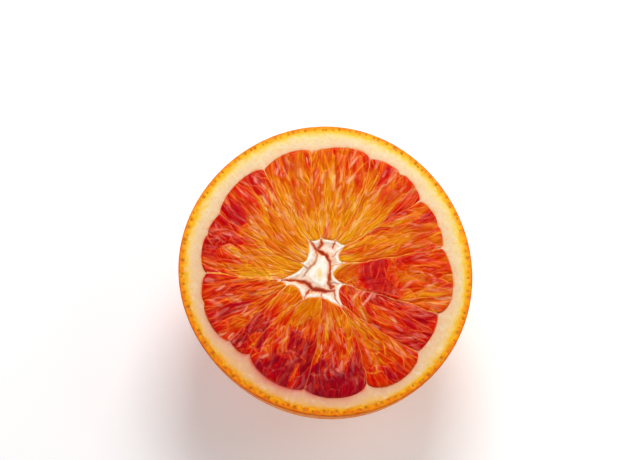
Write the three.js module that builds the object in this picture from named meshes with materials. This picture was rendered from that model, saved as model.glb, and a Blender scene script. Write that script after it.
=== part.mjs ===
// Half a blood orange, cut across its middle and lying on its stem end with the cut face up.
// It is one solid: peel, pith, thirteen juice segments and the cracked, spongy core.
// Millimetres, +Z up, origin at the middle of the base. A turn is an angle in degrees,
// clockwise from +Y as seen from above.

import * as THREE from 'three';

// ---- driving sizes ----

const halfHeight = 40; // base to the highest pulp
const pulpRise = 0.4; // highest pulp above the cut pith
const cutLevel = halfHeight - pulpRise;

const meanRadius = 36.44; // outline of the cut face
const outlineWaves = [ // what makes the outline uneven
  { count: 1, height: 0.61, crest: 139 },
  { count: 2, height: 0.57, crest: -31 },
  { count: 3, height: 0.26, crest: 19 },
  { count: 4, height: 0.09, crest: 1 },
];

const peelThickness = 1.4; // coloured layer of the rind, as cut
const rimRound = 0.35; // soft corner of the cut edge
const skinFullness = 0.94; // 1 is an ellipse, less is fuller
const skinSwell = 0.3; // broad unevenness of the skin
const seatRadius = 7; // flat spot it rests on
const furrowDepth = 0.25; // creases that run out from the stem end
const furrowCount = 9;

const scarLipRadius = 4.6; // inner edge of the flat spot
const scarGroove = { radius: 3.5, depth: 1.0 };
const button = { radius: 2.9, depth: 0.5 }; // dried stem button, sunk in the seat

const columnTurn = 2.6; // widest step between columns on the rim
const columnCrowding = 0.6; // draws columns towards the membranes, 0 to 1
const skinRingCount = 10;

// ---- the segments ----

// Clockwise from +Y. Each row is one segment and the membrane on its clockwise side:
// crown   reach of the segment's outer wall from the middle of the face
// tilt    how much further that wall reaches on the clockwise side
// inner   point of its inner end
// notch   turn and reach of the membrane's outer end
// foot    the membrane's inner end
// bow     how far the membrane bends to its clockwise side
const segments = [
  { crown: 31.1, tilt: 0.8, inner: [1.1, 7.0], notch: [22.4, 29.7], foot: [2.8, 7.0], bow: 1.8 },
  { crown: 31.0, tilt: -0.2, inner: [4.1, 6.0], notch: [54.6, 28.7], foot: [5.3, 5.5], bow: 0 },
  { crown: 30.4, tilt: 0, inner: [3.6, 2.9], notch: [80.6, 29.2], foot: [4.8, 1.0], bow: 0.4 },
  { crown: 31.9, tilt: 1.3, inner: [2.3, -1.9], notch: [112.8, 29.6], foot: [5.1, -4.2], bow: 0 },
  { crown: 31.4, tilt: 0.4, inner: [3.6, -6.2], notch: [133.4, 30.9], foot: [4.5, -9.6], bow: 0.5 },
  { crown: 33.8, tilt: 0, inner: [4.5, -10.2], notch: [160.6, 30.2], foot: [3.9, -10.1], bow: -1.2 },
  { crown: 32.8, tilt: -0.6, inner: [0.9, -8.5], notch: [189.2, 30.4], foot: [-0.7, -7.7], bow: -1.0 },
  { crown: 31.2, tilt: -1.0, inner: [-3.3, -7.7], notch: [219.9, 27.9], foot: [-5.2, -8.2], bow: 1.6 },
  { crown: 29.8, tilt: 0.3, inner: [-6.8, -5.2], notch: [231.4, 29.3], foot: [-9.2, -4.6], bow: 0 },
  { crown: 31.4, tilt: -0.5, inner: [-10.2, -3.9], notch: [267.1, 28.7], foot: [-11.0, -3.2], bow: 0 },
  { crown: 30.6, tilt: -0.4, inner: [-6.0, -0.6], notch: [297.8, 29.1], foot: [-5.8, 1.1], bow: -0.8 },
  { crown: 30.6, tilt: 0.2, inner: [-4.1, 2.7], notch: [328.9, 28.9], foot: [-4.0, 6.9], bow: -0.7 },
  { crown: 30.7, tilt: 0.7, inner: [-2.3, 6.8], notch: [353.8, 29.3], foot: [-0.9, 7.5], bow: -0.7 },
];

// Small dents in the outer wall of a segment, where a second row of juice sacs begins.
const dents = [
  { turn: 38.4, depth: 0.6 },
  { turn: 69.2, depth: 0.4 },
  { turn: 252.9, depth: 0.4 },
  { turn: 286.2, depth: 0.4 },
];
const dentWidth = 1.6; // in degrees of turn

const grooveDepth = 0.35; // pulp border below the cut pith
const shoulder = 1.5; // width of the rounded border of a segment
const sacHeight = 0.24; // ridges of the juice sacs
const sacRings = 3; // rings along one sac
const pulpSteps = [1, 0.985, 0.95, 0.88, 0.79, 0.7, 0.6, 0.5, 0.4, 0.3, 0.2, 0.1, 0.04, 0];

// ---- the core ----

const coreCentre = [-1.4, -1.6];
// Reach of the middle plug from the core's centre, by turn.
const plugOutline = [
  [0, 5.3], [22, 4.6], [41, 3.4], [97, 2.2], [130, 3.0], [151, 3.9], [171, 3.3],
  [199, 2.9], [254, 2.8], [262, 3.2], [290, 2.9], [334, 2.8], [352, 4.3],
];
const ringCrack = { width: 0.8, deep: 3.4, shallow: 0.7, from: 236, to: 334 };
// Cracks that leave the ring and run out between the segments.
const armCracks = [
  { from: [-11.7, -3.2], to: [-3.8, -4.4], halfWidth: 0.5, depth: 2.4 },
  { from: [-3.8, 6.8], to: [-1.3, 4.1], halfWidth: 0.5, depth: 2.0 },
  { from: [-0.8, 7.0], to: [-0.9, 5.2], halfWidth: 0.35, depth: 1.2 },
  { from: [-3.8, -5.7], to: [-5.1, -8.0], halfWidth: 0.35, depth: 1.0 },
  { from: [-0.7, -6.0], to: [-0.7, -8.0], halfWidth: 0.3, depth: 0.8 },
  { from: [2.3, -5.9], to: [4.0, -9.9], halfWidth: 0.3, depth: 0.8 },
];
const armSteps = [0.76, 0.5, 0.25]; // rings between the segments' ends and the ring crack
const spongeSag = 0.25; // core sponge below the cut pith

// ---- helpers ----

const lerp = THREE.MathUtils.lerp;
const clamp01 = (value) => THREE.MathUtils.clamp(value, 0, 1);
const radians = THREE.MathUtils.degToRad;

const polar = (turn, reach) => [Math.sin(radians(turn)) * reach, Math.cos(radians(turn)) * reach];
const mix = (a, b, t) => [lerp(a[0], b[0], t), lerp(a[1], b[1], t)];
const shift = (point, move, amount) => [point[0] + move[0] * amount, point[1] + move[1] * amount];
const between = (a, b) => [b[0] - a[0], b[1] - a[1]];
const length = (vector) => Math.hypot(vector[0], vector[1]);

// Smallest difference of two turns, in degrees.
function turnGap(a, b) {
  return Math.abs(((a - b + 540) % 360) - 180);
}

// A repeatable number from -1 to 1 for each pair of whole numbers.
function scatter(a, b) {
  const wave = Math.sin(a * 127.1 + b * 311.7) * 43758.5453;
  return 2 * (wave - Math.floor(wave)) - 1;
}

// ---- outline and skin ----

function rimRadius(turn) {
  let radius = meanRadius;
  for (const wave of outlineWaves) {
    radius += wave.height * Math.cos(wave.count * radians(turn - wave.crest));
  }
  return radius;
}

// The skin is a fuller ellipse: reach = radius * sin(lift)^fullness, height falls as cos(lift).
const seatLift = Math.asin((seatRadius / meanRadius) ** (1 / skinFullness));
const skinDepth = cutLevel / Math.cos(seatLift);

function skinPoint(turn, climb) {
  const lift = lerp(seatLift, Math.PI / 2, climb);
  const radius = lerp(meanRadius, rimRadius(turn), climb ** 0.5);
  const swell = skinSwell * Math.sin(3 * radians(turn) + 5 * climb) * Math.sin(Math.PI * climb);
  const furrow = furrowDepth * Math.cos(furrowCount * radians(turn)) * Math.sin(Math.PI * clamp01(climb * 3));
  const reach = radius * Math.sin(lift) ** skinFullness + swell + furrow;
  const [x, y] = polar(turn, reach);
  return [x, y, cutLevel - rimRound - (skinDepth - rimRound) * Math.cos(lift)];
}

// ---- segments ----

// Point on a membrane, from its foot at 0 to its notch at 1: a parabola with the given bow.
function membranePoint(row, along) {
  const end = polar(...row.notch);
  const chord = between(row.foot, end);
  const side = [chord[1] / length(chord), -chord[0] / length(chord)];
  return shift(mix(row.foot, end, along), side, row.bow * 4 * along * (1 - along));
}

// Reach of a segment's outer wall: an arch from notch to notch, with small dents.
function wallPoint(before, row, across) {
  const startTurn = before.notch[0] > row.notch[0] ? before.notch[0] - 360 : before.notch[0];
  const turn = lerp(startTurn, row.notch[0], across);
  const base = lerp(before.notch[1], row.notch[1], across);
  const side = 2 * across - 1;
  const arch = Math.sqrt(1 - side ** 2);
  let reach = lerp(base, row.crown + row.tilt * side, arch);
  for (const dent of dents) {
    reach -= dent.depth * Math.exp(-((turnGap(turn, dent.turn) / dentWidth) ** 2));
  }
  return polar(turn, reach);
}

// Inner end of a segment: an arch between the feet of its two membranes.
function innerPoint(before, row, across) {
  const arch = 1 - (2 * across - 1) ** 2;
  const chordMiddle = mix(before.foot, row.foot, 0.5);
  return shift(mix(before.foot, row.foot, across), between(chordMiddle, row.inner), arch);
}

// Point of a segment: across 0..1 from membrane to membrane, along 0..1 from core to wall.
function segmentPoint(before, row, across, along) {
  const left = membranePoint(before, along);
  const right = membranePoint(row, along);
  const plain = mix(left, right, across);
  const wallChord = mix(polar(...before.notch), polar(...row.notch), across);
  const innerChord = mix(before.foot, row.foot, across);
  const wallMove = between(wallChord, wallPoint(before, row, across));
  const innerMove = between(innerChord, innerPoint(before, row, across));
  return shift(shift(plain, wallMove, along ** 3), innerMove, (1 - along) ** 3);
}

// Height of the pulp: a flat pillow with a rounded border, ridged by its juice sacs.
function pulpHeight(before, row, column, across, along, ring) {
  const left = membranePoint(before, along);
  const right = membranePoint(row, along);
  const width = length(between(left, right));
  const run = length(between(row.foot, polar(...row.notch)));
  const inward = Math.min(Math.min(across, 1 - across) * width, along * run, (1 - along) * run);
  const pillow = 1 - (1 - clamp01(inward / shoulder)) ** 2;
  const sac = (column % 2 === 0 ? 0.5 : -0.5) + 0.5 * scatter(column, Math.floor(ring / sacRings));
  const top = pulpRise - sacHeight + sacHeight * sac;
  return cutLevel + lerp(-grooveDepth, top, pillow);
}

// ---- core ----

function plugReach(turn) {
  const at = ((turn % 360) + 360) % 360;
  const next = plugOutline.findIndex(([end]) => end > at);
  const [endTurn, endReach] = next < 0 ? [360, plugOutline[0][1]] : plugOutline[next];
  const [startTurn, startReach] = plugOutline[next < 0 ? plugOutline.length - 1 : next - 1];
  return lerp(startReach, endReach, (at - startTurn) / (endTurn - startTurn));
}

// Depth of the cracks that run out from the ring, at a point of the core.
function armCrackDepth(point) {
  let depth = 0;
  for (const crack of armCracks) {
    const run = between(crack.from, crack.to);
    const reach = between(crack.from, point);
    const along = clamp01((reach[0] * run[0] + reach[1] * run[1]) / length(run) ** 2);
    const away = length(between(mix(crack.from, crack.to, along), point));
    depth = Math.max(depth, crack.depth * clamp01(1 - (away / crack.halfWidth) ** 2));
  }
  return depth;
}

function ringCrackDepth(turn) {
  const inShallow = turn > ringCrack.from && turn < ringCrack.to;
  return inShallow ? ringCrack.shallow : ringCrack.deep;
}

// Points of the core below one column, from the segment's inner end to the middle plug.
function corePoints(innerEnd) {
  const reach = between(coreCentre, innerEnd);
  const outer = length(reach);
  const heading = [reach[0] / outer, reach[1] / outer];
  const turn = (THREE.MathUtils.radToDeg(Math.atan2(heading[0], heading[1])) + 360) % 360;
  const plug = Math.min(plugReach(turn), outer - ringCrack.width - 0.3);
  const lip = plug + ringCrack.width;
  const at = (radius, level) => [...shift(coreCentre, heading, radius), level];
  const sponge = cutLevel - spongeSag;
  const arms = armSteps.map((part) => {
    const point = shift(coreCentre, heading, lerp(lip, outer, part));
    return [...point, sponge - armCrackDepth(point)];
  });
  const lipPoint = shift(coreCentre, heading, lip);
  return [
    ...arms,
    at(lip, sponge - armCrackDepth(lipPoint)),
    at(plug + ringCrack.width / 2, sponge - ringCrackDepth(turn)),
    at(plug, sponge),
    at(plug * 0.5, cutLevel),
  ];
}

// ---- one column, from the stem button up the skin and over the face to the plug ----

function column(before, row, index, across) {
  const startTurn = before.notch[0] > row.notch[0] ? before.notch[0] - 360 : before.notch[0];
  const turn = lerp(startTurn, row.notch[0], across);
  const points = [
    [...polar(turn, button.radius * 0.6), button.depth],
    [...polar(turn, button.radius), button.depth + 0.2],
    [...polar(turn, scarGroove.radius), scarGroove.depth],
    [...polar(turn, scarLipRadius), 0],
  ];
  for (let ring = 0; ring < skinRingCount; ring += 1) {
    points.push(skinPoint(turn, ring / (skinRingCount - 1)));
  }
  const rim = rimRadius(turn);
  points.push([...polar(turn, rim - rimRound), cutLevel]);
  points.push([...polar(turn, rim - peelThickness), cutLevel - 0.1]);
  points.push([...mix(polar(turn, rim - peelThickness), wallPoint(before, row, across), 0.55), cutLevel]);
  pulpSteps.forEach((along, ring) => {
    const height = pulpHeight(before, row, index, across, along, ring);
    points.push([...segmentPoint(before, row, across, along), height]);
  });
  points.push(...corePoints(segmentPoint(before, row, across, 0)));
  return points;
}

// Columns lie closer together next to the membranes.
function crowd(part) {
  return part - (columnCrowding * Math.sin(2 * Math.PI * part)) / (2 * Math.PI);
}

function allColumns() {
  const columns = [];
  segments.forEach((row, number) => {
    const before = segments[(number + segments.length - 1) % segments.length];
    const spread = (row.notch[0] - before.notch[0] + 360) % 360;
    const count = 2 * Math.max(3, Math.round(spread / columnTurn / 2));
    for (let index = 0; index < count; index += 1) {
      columns.push(column(before, row, index, crowd(index / count)));
    }
  });
  return columns;
}

// ---- closed surface ----

function closedSurface(columns, bottom, top) {
  const ringCount = columns[0].length;
  const positions = [bottom, top, ...columns.flat()].flat();
  const at = (index, ring) => 2 + (index % columns.length) * ringCount + ring;
  const faces = [];
  for (let index = 0; index < columns.length; index += 1) {
    faces.push(0, at(index, 0), at(index + 1, 0));
    for (let ring = 0; ring < ringCount - 1; ring += 1) {
      faces.push(at(index, ring), at(index, ring + 1), at(index + 1, ring + 1));
      faces.push(at(index, ring), at(index + 1, ring + 1), at(index + 1, ring));
    }
    faces.push(1, at(index + 1, ringCount - 1), at(index, ringCount - 1));
  }
  const geometry = new THREE.BufferGeometry();
  geometry.setAttribute('position', new THREE.Float32BufferAttribute(positions, 3));
  geometry.setIndex(faces);
  return geometry;
}

const surface = closedSurface(
  allColumns(),
  [0, 0, button.depth - 0.1],
  [...coreCentre, cutLevel - 0.1],
);

// The origin is the middle of the base, under the middle of the bounding box.
surface.computeBoundingBox();
const middle = surface.boundingBox.getCenter(new THREE.Vector3());
surface.translate(-middle.x, -middle.y, 0);
surface.computeVertexNormals();

const flesh = new THREE.MeshStandardMaterial({ color: 0xe0641a, roughness: 0.4, metalness: 0 });
const half = new THREE.Mesh(surface, flesh);
half.name = 'blood_orange_half';

const group = new THREE.Group();
group.add(half);

export default group;
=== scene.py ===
import bpy
import math
import numpy as np
from mathutils import Matrix, Vector


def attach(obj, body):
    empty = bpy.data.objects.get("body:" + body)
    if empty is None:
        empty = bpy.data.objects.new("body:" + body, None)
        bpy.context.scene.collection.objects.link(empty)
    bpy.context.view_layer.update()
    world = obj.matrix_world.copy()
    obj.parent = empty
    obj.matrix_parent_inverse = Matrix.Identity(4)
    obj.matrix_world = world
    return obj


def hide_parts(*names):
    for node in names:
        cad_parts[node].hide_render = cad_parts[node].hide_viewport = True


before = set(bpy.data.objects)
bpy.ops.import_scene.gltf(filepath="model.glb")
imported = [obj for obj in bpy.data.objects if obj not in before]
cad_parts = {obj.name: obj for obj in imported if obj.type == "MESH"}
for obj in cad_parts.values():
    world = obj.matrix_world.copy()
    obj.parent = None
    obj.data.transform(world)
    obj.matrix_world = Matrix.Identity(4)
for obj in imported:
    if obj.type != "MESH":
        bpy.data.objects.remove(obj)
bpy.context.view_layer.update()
print("frame loaded")

# Sizes are in millimetres until a mesh is made. A turn is an angle in degrees,
# clockwise from +Y as seen from above.
fruit = {
    "cutLevel": 39.6,
    "meanRadius": 36.44, "outlineSteps": 1440,
    "waves": [(1, 0.61, 139), (2, 0.57, -31), (3, 0.26, 19), (4, 0.09, 1)],  # count, height, crest
    "coreCentre": (-1.4, -1.6),
    "cavityDepth": 34.0,  # from the cut down to the lower end of the segments
    "wanders": [(0.22, 9, 92), (0.11, 22, 93)],  # a membrane strays: reach, bends, seed
    "straightEnd": 0.15,  # part of its length at each end in which it doesn't
    "bandWidth": 1.5, "bandWave": 0.12, "thickTurn": 195,  # coloured band of the rind
    "dents": [(38.4, 0.6), (69.2, 0.4), (252.9, 0.4), (286.2, 0.4)],  # turn and depth, in a wall
    "dentWidth": 1.6,
}

# One row for a segment and the membrane on its clockwise side. crown: reach of the outer wall,
# tilt: how much further it reaches on the clockwise side, inner: point of the inner end,
# notch: turn and reach of the membrane's outer end, foot: the membrane's inner end, bow: its
# bend to the clockwise side, red: how deep the pigment is at the core, half way and at the
# wall, 0 orange to 1 purple.
rowNames = ("crown", "tilt", "inner", "notch", "foot", "bow", "red")
segments = [dict(zip(rowNames, row)) for row in [
    (31.1, 0.8, (1.1, 7.0), (22.4, 29.7), (2.8, 7.0), 1.8, (0.14, 0.21, 0.38)),
    (31.0, -0.2, (4.1, 6.0), (54.6, 28.7), (5.3, 5.5), 0.0, (0.12, 0.19, 0.42)),
    (30.4, 0.0, (3.6, 2.9), (80.6, 29.2), (4.8, 1.0), 0.4, (0.29, 0.22, 0.38)),
    (31.9, 1.3, (2.3, -1.9), (112.8, 29.6), (5.1, -4.2), 0.0, (0.42, 0.44, 0.42)),
    (31.4, 0.4, (3.6, -6.2), (133.4, 30.9), (4.5, -9.6), 0.5, (0.54, 0.59, 0.76)),
    (33.8, 0.0, (4.5, -10.2), (160.6, 30.2), (3.9, -10.1), -1.2, (0.34, 0.40, 0.47)),
    (32.8, -0.6, (0.9, -8.5), (189.2, 30.4), (-0.7, -7.7), -1.0, (0.41, 0.56, 0.98)),
    (31.2, -1.0, (-3.3, -7.7), (219.9, 27.9), (-5.2, -8.2), 1.6, (0.34, 0.72, 0.96)),
    (29.8, 0.3, (-6.8, -5.2), (231.4, 29.3), (-9.2, -4.6), 0.0, (0.29, 1.0, 0.94)),
    (31.4, -0.5, (-10.2, -3.9), (267.1, 28.7), (-11.0, -3.2), 0.0, (0.32, 0.53, 0.70)),
    (30.6, -0.4, (-6.0, -0.6), (297.8, 29.1), (-5.8, 1.1), -0.8, (0.16, 0.33, 0.66)),
    (30.6, 0.2, (-4.1, 2.7), (328.9, 28.9), (-4.0, 6.9), -0.7, (0.2, 0.31, 0.58)),
    (30.7, 0.7, (-2.3, 6.8), (353.8, 29.3), (-0.9, 7.5), -0.7, (0.15, 0.28, 0.39)),
]]
for number, row in enumerate(segments):
    start = segments[number - 1]["notch"][0]
    row.update(before=segments[number - 1], start=start - 360 * (start > row["notch"][0]))


def smooth(low, high, value):
    # A soft step from 0 at low to 1 at high, 3t^2 - 2t^3; it falls instead if low is the larger.
    part = np.clip((value - low) / (high - low), 0, 1)
    return part * part * (3 - 2 * part)


def bell(distance, width=1.0):
    # 1 in the middle, falling as e to the minus square of distance over width.
    return np.exp(-(distance / width) ** 2)


def atLeast(least, amount):
    # From the least to 1 as the amount goes from 0 to 1.
    return least + (1 - least) * amount


def patchy(settings, amount):
    # A strength round its mean that varies with an amount from -1 to 1, kept from its least to 1.
    mean, spread, least = settings
    return np.clip(mean + spread * amount, least, 1)


def polar(turn, reach):
    # x is reach times the sine of the turn, y is reach times its cosine.
    angle = np.radians(turn)
    return np.stack([np.sin(angle) * reach, np.cos(angle) * reach], -1)


def mixed(a, b, part):
    # The point that lies this part of the way from a to b.
    return a + (b - a) * np.asarray(part)[..., None]


def lifted(flat, height):
    # Flat points with their height, one for all or one for each.
    return np.concatenate([flat, np.broadcast_to(height, flat.shape[:-1])[..., None]], -1)


def crowded(part, amount):
    # Steps from 0 to 1 drawn towards both ends: a sine is taken off the even step.
    return part - amount * np.sin(2 * np.pi * part) / (2 * np.pi)


def evenTurns(count):
    # Turns at even steps round the whole circle.
    return np.arange(count) * 360 / count


def turnGap(a, b):
    # Degrees between two turns, the short way round.
    return np.abs((a - b + 540) % 360 - 180)


def chance(a, b, seed=0):
    # A repeatable number from 0 to 1 for each pair of whole numbers: the tail of a fast sine.
    wave = np.sin(a * 127.1 + b * 311.7 + seed * 74.7) * 43758.5453
    return wave - np.floor(wave)


def noise(x, y, seed=0):
    # Value noise, -1 to 1: random numbers on whole points, blended smoothly between them.
    left, low = np.floor(x), np.floor(y)
    partX, partY = smooth(0, 1, x - left), smooth(0, 1, y - low)
    bottom = chance(left, low, seed) * (1 - partX) + chance(left + 1, low, seed) * partX
    top = chance(left, low + 1, seed) * (1 - partX) + chance(left + 1, low + 1, seed) * partX
    return 2 * (bottom * (1 - partY) + top * partY) - 1


def cloud(flat, size, seed, layers=4):
    # Layers of noise over flat points, each twice as fine and half as strong as the last.
    x, y = flat[..., 0] / size, flat[..., 1] / size
    total = sum(noise(x * 2 ** k, y * 2 ** k, seed + k) / 2 ** k for k in range(layers))
    return total / 1.9  # about the sum of the strengths of four layers


def rimRadius(turn):
    # Mean radius plus a few slow cosine waves.
    return fruit["meanRadius"] + sum(
        height * np.cos(count * np.radians(turn - crest)) for count, height, crest in fruit["waves"])


def edgeWidth(turn):
    # Width of the coloured band on the cut: a mean with one cosine wave, thickest at thickTurn.
    return fruit["bandWidth"] + fruit["bandWave"] * np.cos(np.radians(turn - fruit["thickTurn"]))


# The model stands with the middle of its outline on the axis.
outlineTurns = evenTurns(fruit["outlineSteps"])
outline = polar(outlineTurns, rimRadius(outlineTurns))
outlineMiddle = (outline.max(0) + outline.min(0)) / 2


def lengthened(amounts, count):
    # The same rows with rows of zeros after them, for the points that nobody sees.
    full = np.zeros((count,) + amounts.shape[1:], np.float32)
    full[:len(amounts)] = amounts
    return full


def makePiece(name, points, faces, material, values=None, grain=None):
    # A mesh from points in millimetres, with values and a map for its shader. Each triangle's first
    # corner times the cross product of its other two adds up to six times the volume: if that is
    # below 0, the faces are turned round.
    points = np.asarray(points, float).reshape(-1, 3).copy()
    points[:, :2] -= outlineMiddle
    points *= 0.001
    volume = 0.0
    for block in faces:
        for k in range(1, block.shape[1] - 1):
            a, b, c = points[block[:, 0]], points[block[:, k]], points[block[:, k + 1]]
            volume += np.einsum("ij,ij->i", a, np.cross(b, c)).sum()
    if volume < 0:
        faces = [block[:, ::-1] for block in faces]
    corners = np.concatenate([block.ravel() for block in faces])
    counts = np.concatenate([np.full(len(block), block.shape[1]) for block in faces])
    starts = np.concatenate([[0], np.cumsum(counts)[:-1]])
    mesh = bpy.data.meshes.new(name)
    mesh.vertices.add(len(points))
    mesh.vertices.foreach_set("co", points.astype(np.float32).ravel())
    mesh.loops.add(len(corners))
    mesh.loops.foreach_set("vertex_index", corners.astype(np.int32))
    mesh.polygons.add(len(counts))
    mesh.polygons.foreach_set("loop_start", starts.astype(np.int32))
    mesh.polygons.foreach_set("use_smooth", np.ones(len(counts), bool))
    mesh.update(calc_edges=True)
    for key, amounts in (values or {}).items():
        layer = mesh.attributes.new(key, "FLOAT", "POINT")
        layer.data.foreach_set("value", lengthened(amounts.ravel(), len(points)))
    if grain is not None:
        layer = mesh.uv_layers.new(name="grain")
        layer.data.foreach_set("uv", lengthened(grain, len(points))[corners].ravel())
    mesh.materials.append(material)
    piece = bpy.data.objects.new(name, mesh)
    bpy.context.scene.collection.objects.link(piece)
    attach(piece, "root")
    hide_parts("blood_orange_half")


def ringFaces(ringCount, columnCount, loop=False):
    # Quads between rings that close on themselves; loop joins the last ring to the first.
    ring = np.arange(ringCount if loop else ringCount - 1)
    ring, column = np.meshgrid(ring, np.arange(columnCount), indexing="ij")
    above, beside = (ring + 1) % ringCount, (column + 1) % columnCount
    return np.stack([ring * columnCount + column, above * columnCount + column,
                     above * columnCount + beside, ring * columnCount + beside], -1).reshape(-1, 4)


def capFaces(ring, columnCount, point):
    # A fan from one ring to a middle point; the first ring's fan runs the other way round.
    here = ring * columnCount + np.arange(columnCount)
    beside = ring * columnCount + (np.arange(columnCount) + 1) % columnCount
    middle = np.full(columnCount, point)
    return np.stack([middle, here, beside] if ring == 0 else [middle, beside, here], -1)


def closedRings(rings, start, end):
    # Points and faces of a stack of rings, closed by a fan at each end.
    ringCount, columnCount = rings.shape[:2]
    points = np.concatenate([rings.reshape(-1, 3), [start, end]])
    last = ringCount * columnCount
    faces = [ringFaces(ringCount, columnCount), capFaces(0, columnCount, last),
             capFaces(ringCount - 1, columnCount, last + 1)]
    return points, faces


def chordLength(row):
    # Straight distance from a membrane's foot to its notch.
    return float(np.hypot(*(polar(*row["notch"]) - np.array(row["foot"]))))


def membranePoint(row, along):
    # From foot to notch on a straight chord, bent sideways by a parabola and a little noise.
    foot, notch = np.array(row["foot"]), polar(*row["notch"])
    chord = notch - foot
    side = np.array([chord[1], -chord[0]]) / np.hypot(*chord)
    wander = sum(reach * noise(along * bends, row["foot"][0], seed)
                 for reach, bends, seed in fruit["wanders"])
    end = fruit["straightEnd"]
    bend = row["bow"] * 4 * along * (1 - along)
    bend = bend + wander * smooth(0, end, along) * smooth(1, 1 - end, along)
    return foot + along[..., None] * chord + bend[..., None] * side


def wallPoint(row, across):
    # An arch from notch to notch, tilted to one side, less a few bell-shaped dents.
    turn = row["start"] + (row["notch"][0] - row["start"]) * across
    base = row["before"]["notch"][1] + (row["notch"][1] - row["before"]["notch"][1]) * across
    side = 2 * across - 1
    arch = np.sqrt(np.clip(1 - side ** 2, 0, 1))
    reach = base + (row["crown"] + row["tilt"] * side - base) * arch
    for dentTurn, depth in fruit["dents"]:
        reach = reach - depth * bell(turnGap(turn, dentTurn), fruit["dentWidth"])
    return polar(turn, reach)


def innerPoint(row, across):
    # A parabola between the feet of two membranes, through the segment's inner end.
    first, last = np.array(row["before"]["foot"]), np.array(row["foot"])
    move = np.array(row["inner"]) - (first + last) / 2
    return mixed(first, last, across) + (1 - (2 * across - 1) ** 2)[..., None] * move


def segmentPoint(row, across, along):
    # A blend of the two membranes, drawn to the wall's arch at one end and the inner arch at the other.
    before = row["before"]
    plain = mixed(membranePoint(before, along), membranePoint(row, along), across)
    wallChord = mixed(polar(*before["notch"]), polar(*row["notch"]), across)
    innerChord = mixed(np.array(before["foot"]), np.array(row["foot"]), across)
    wallMove = (wallPoint(row, across) - wallChord) * (along ** 3)[..., None]
    innerMove = (innerPoint(row, across) - innerChord) * ((1 - along) ** 3)[..., None]
    return plain + wallMove + innerMove


def sunk(points, angle):
    # The cut outline carried down the cavity: it shrinks by a cosine as it sinks by a sine.
    centre = np.array(fruit["coreCentre"])
    flat = centre + (points - centre) * math.cos(angle)
    return lifted(flat, fruit["cutLevel"] - fruit["cavityDepth"] * math.sin(angle))


def paint(red, green, blue):
    # A screen colour, 0 to 255, as linear light.
    return tuple(((c / 255 + 0.055) / 1.055) ** 2.4 if c > 10 else c / 255 / 12.92
                 for c in (red, green, blue)) + (1.0,)


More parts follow.
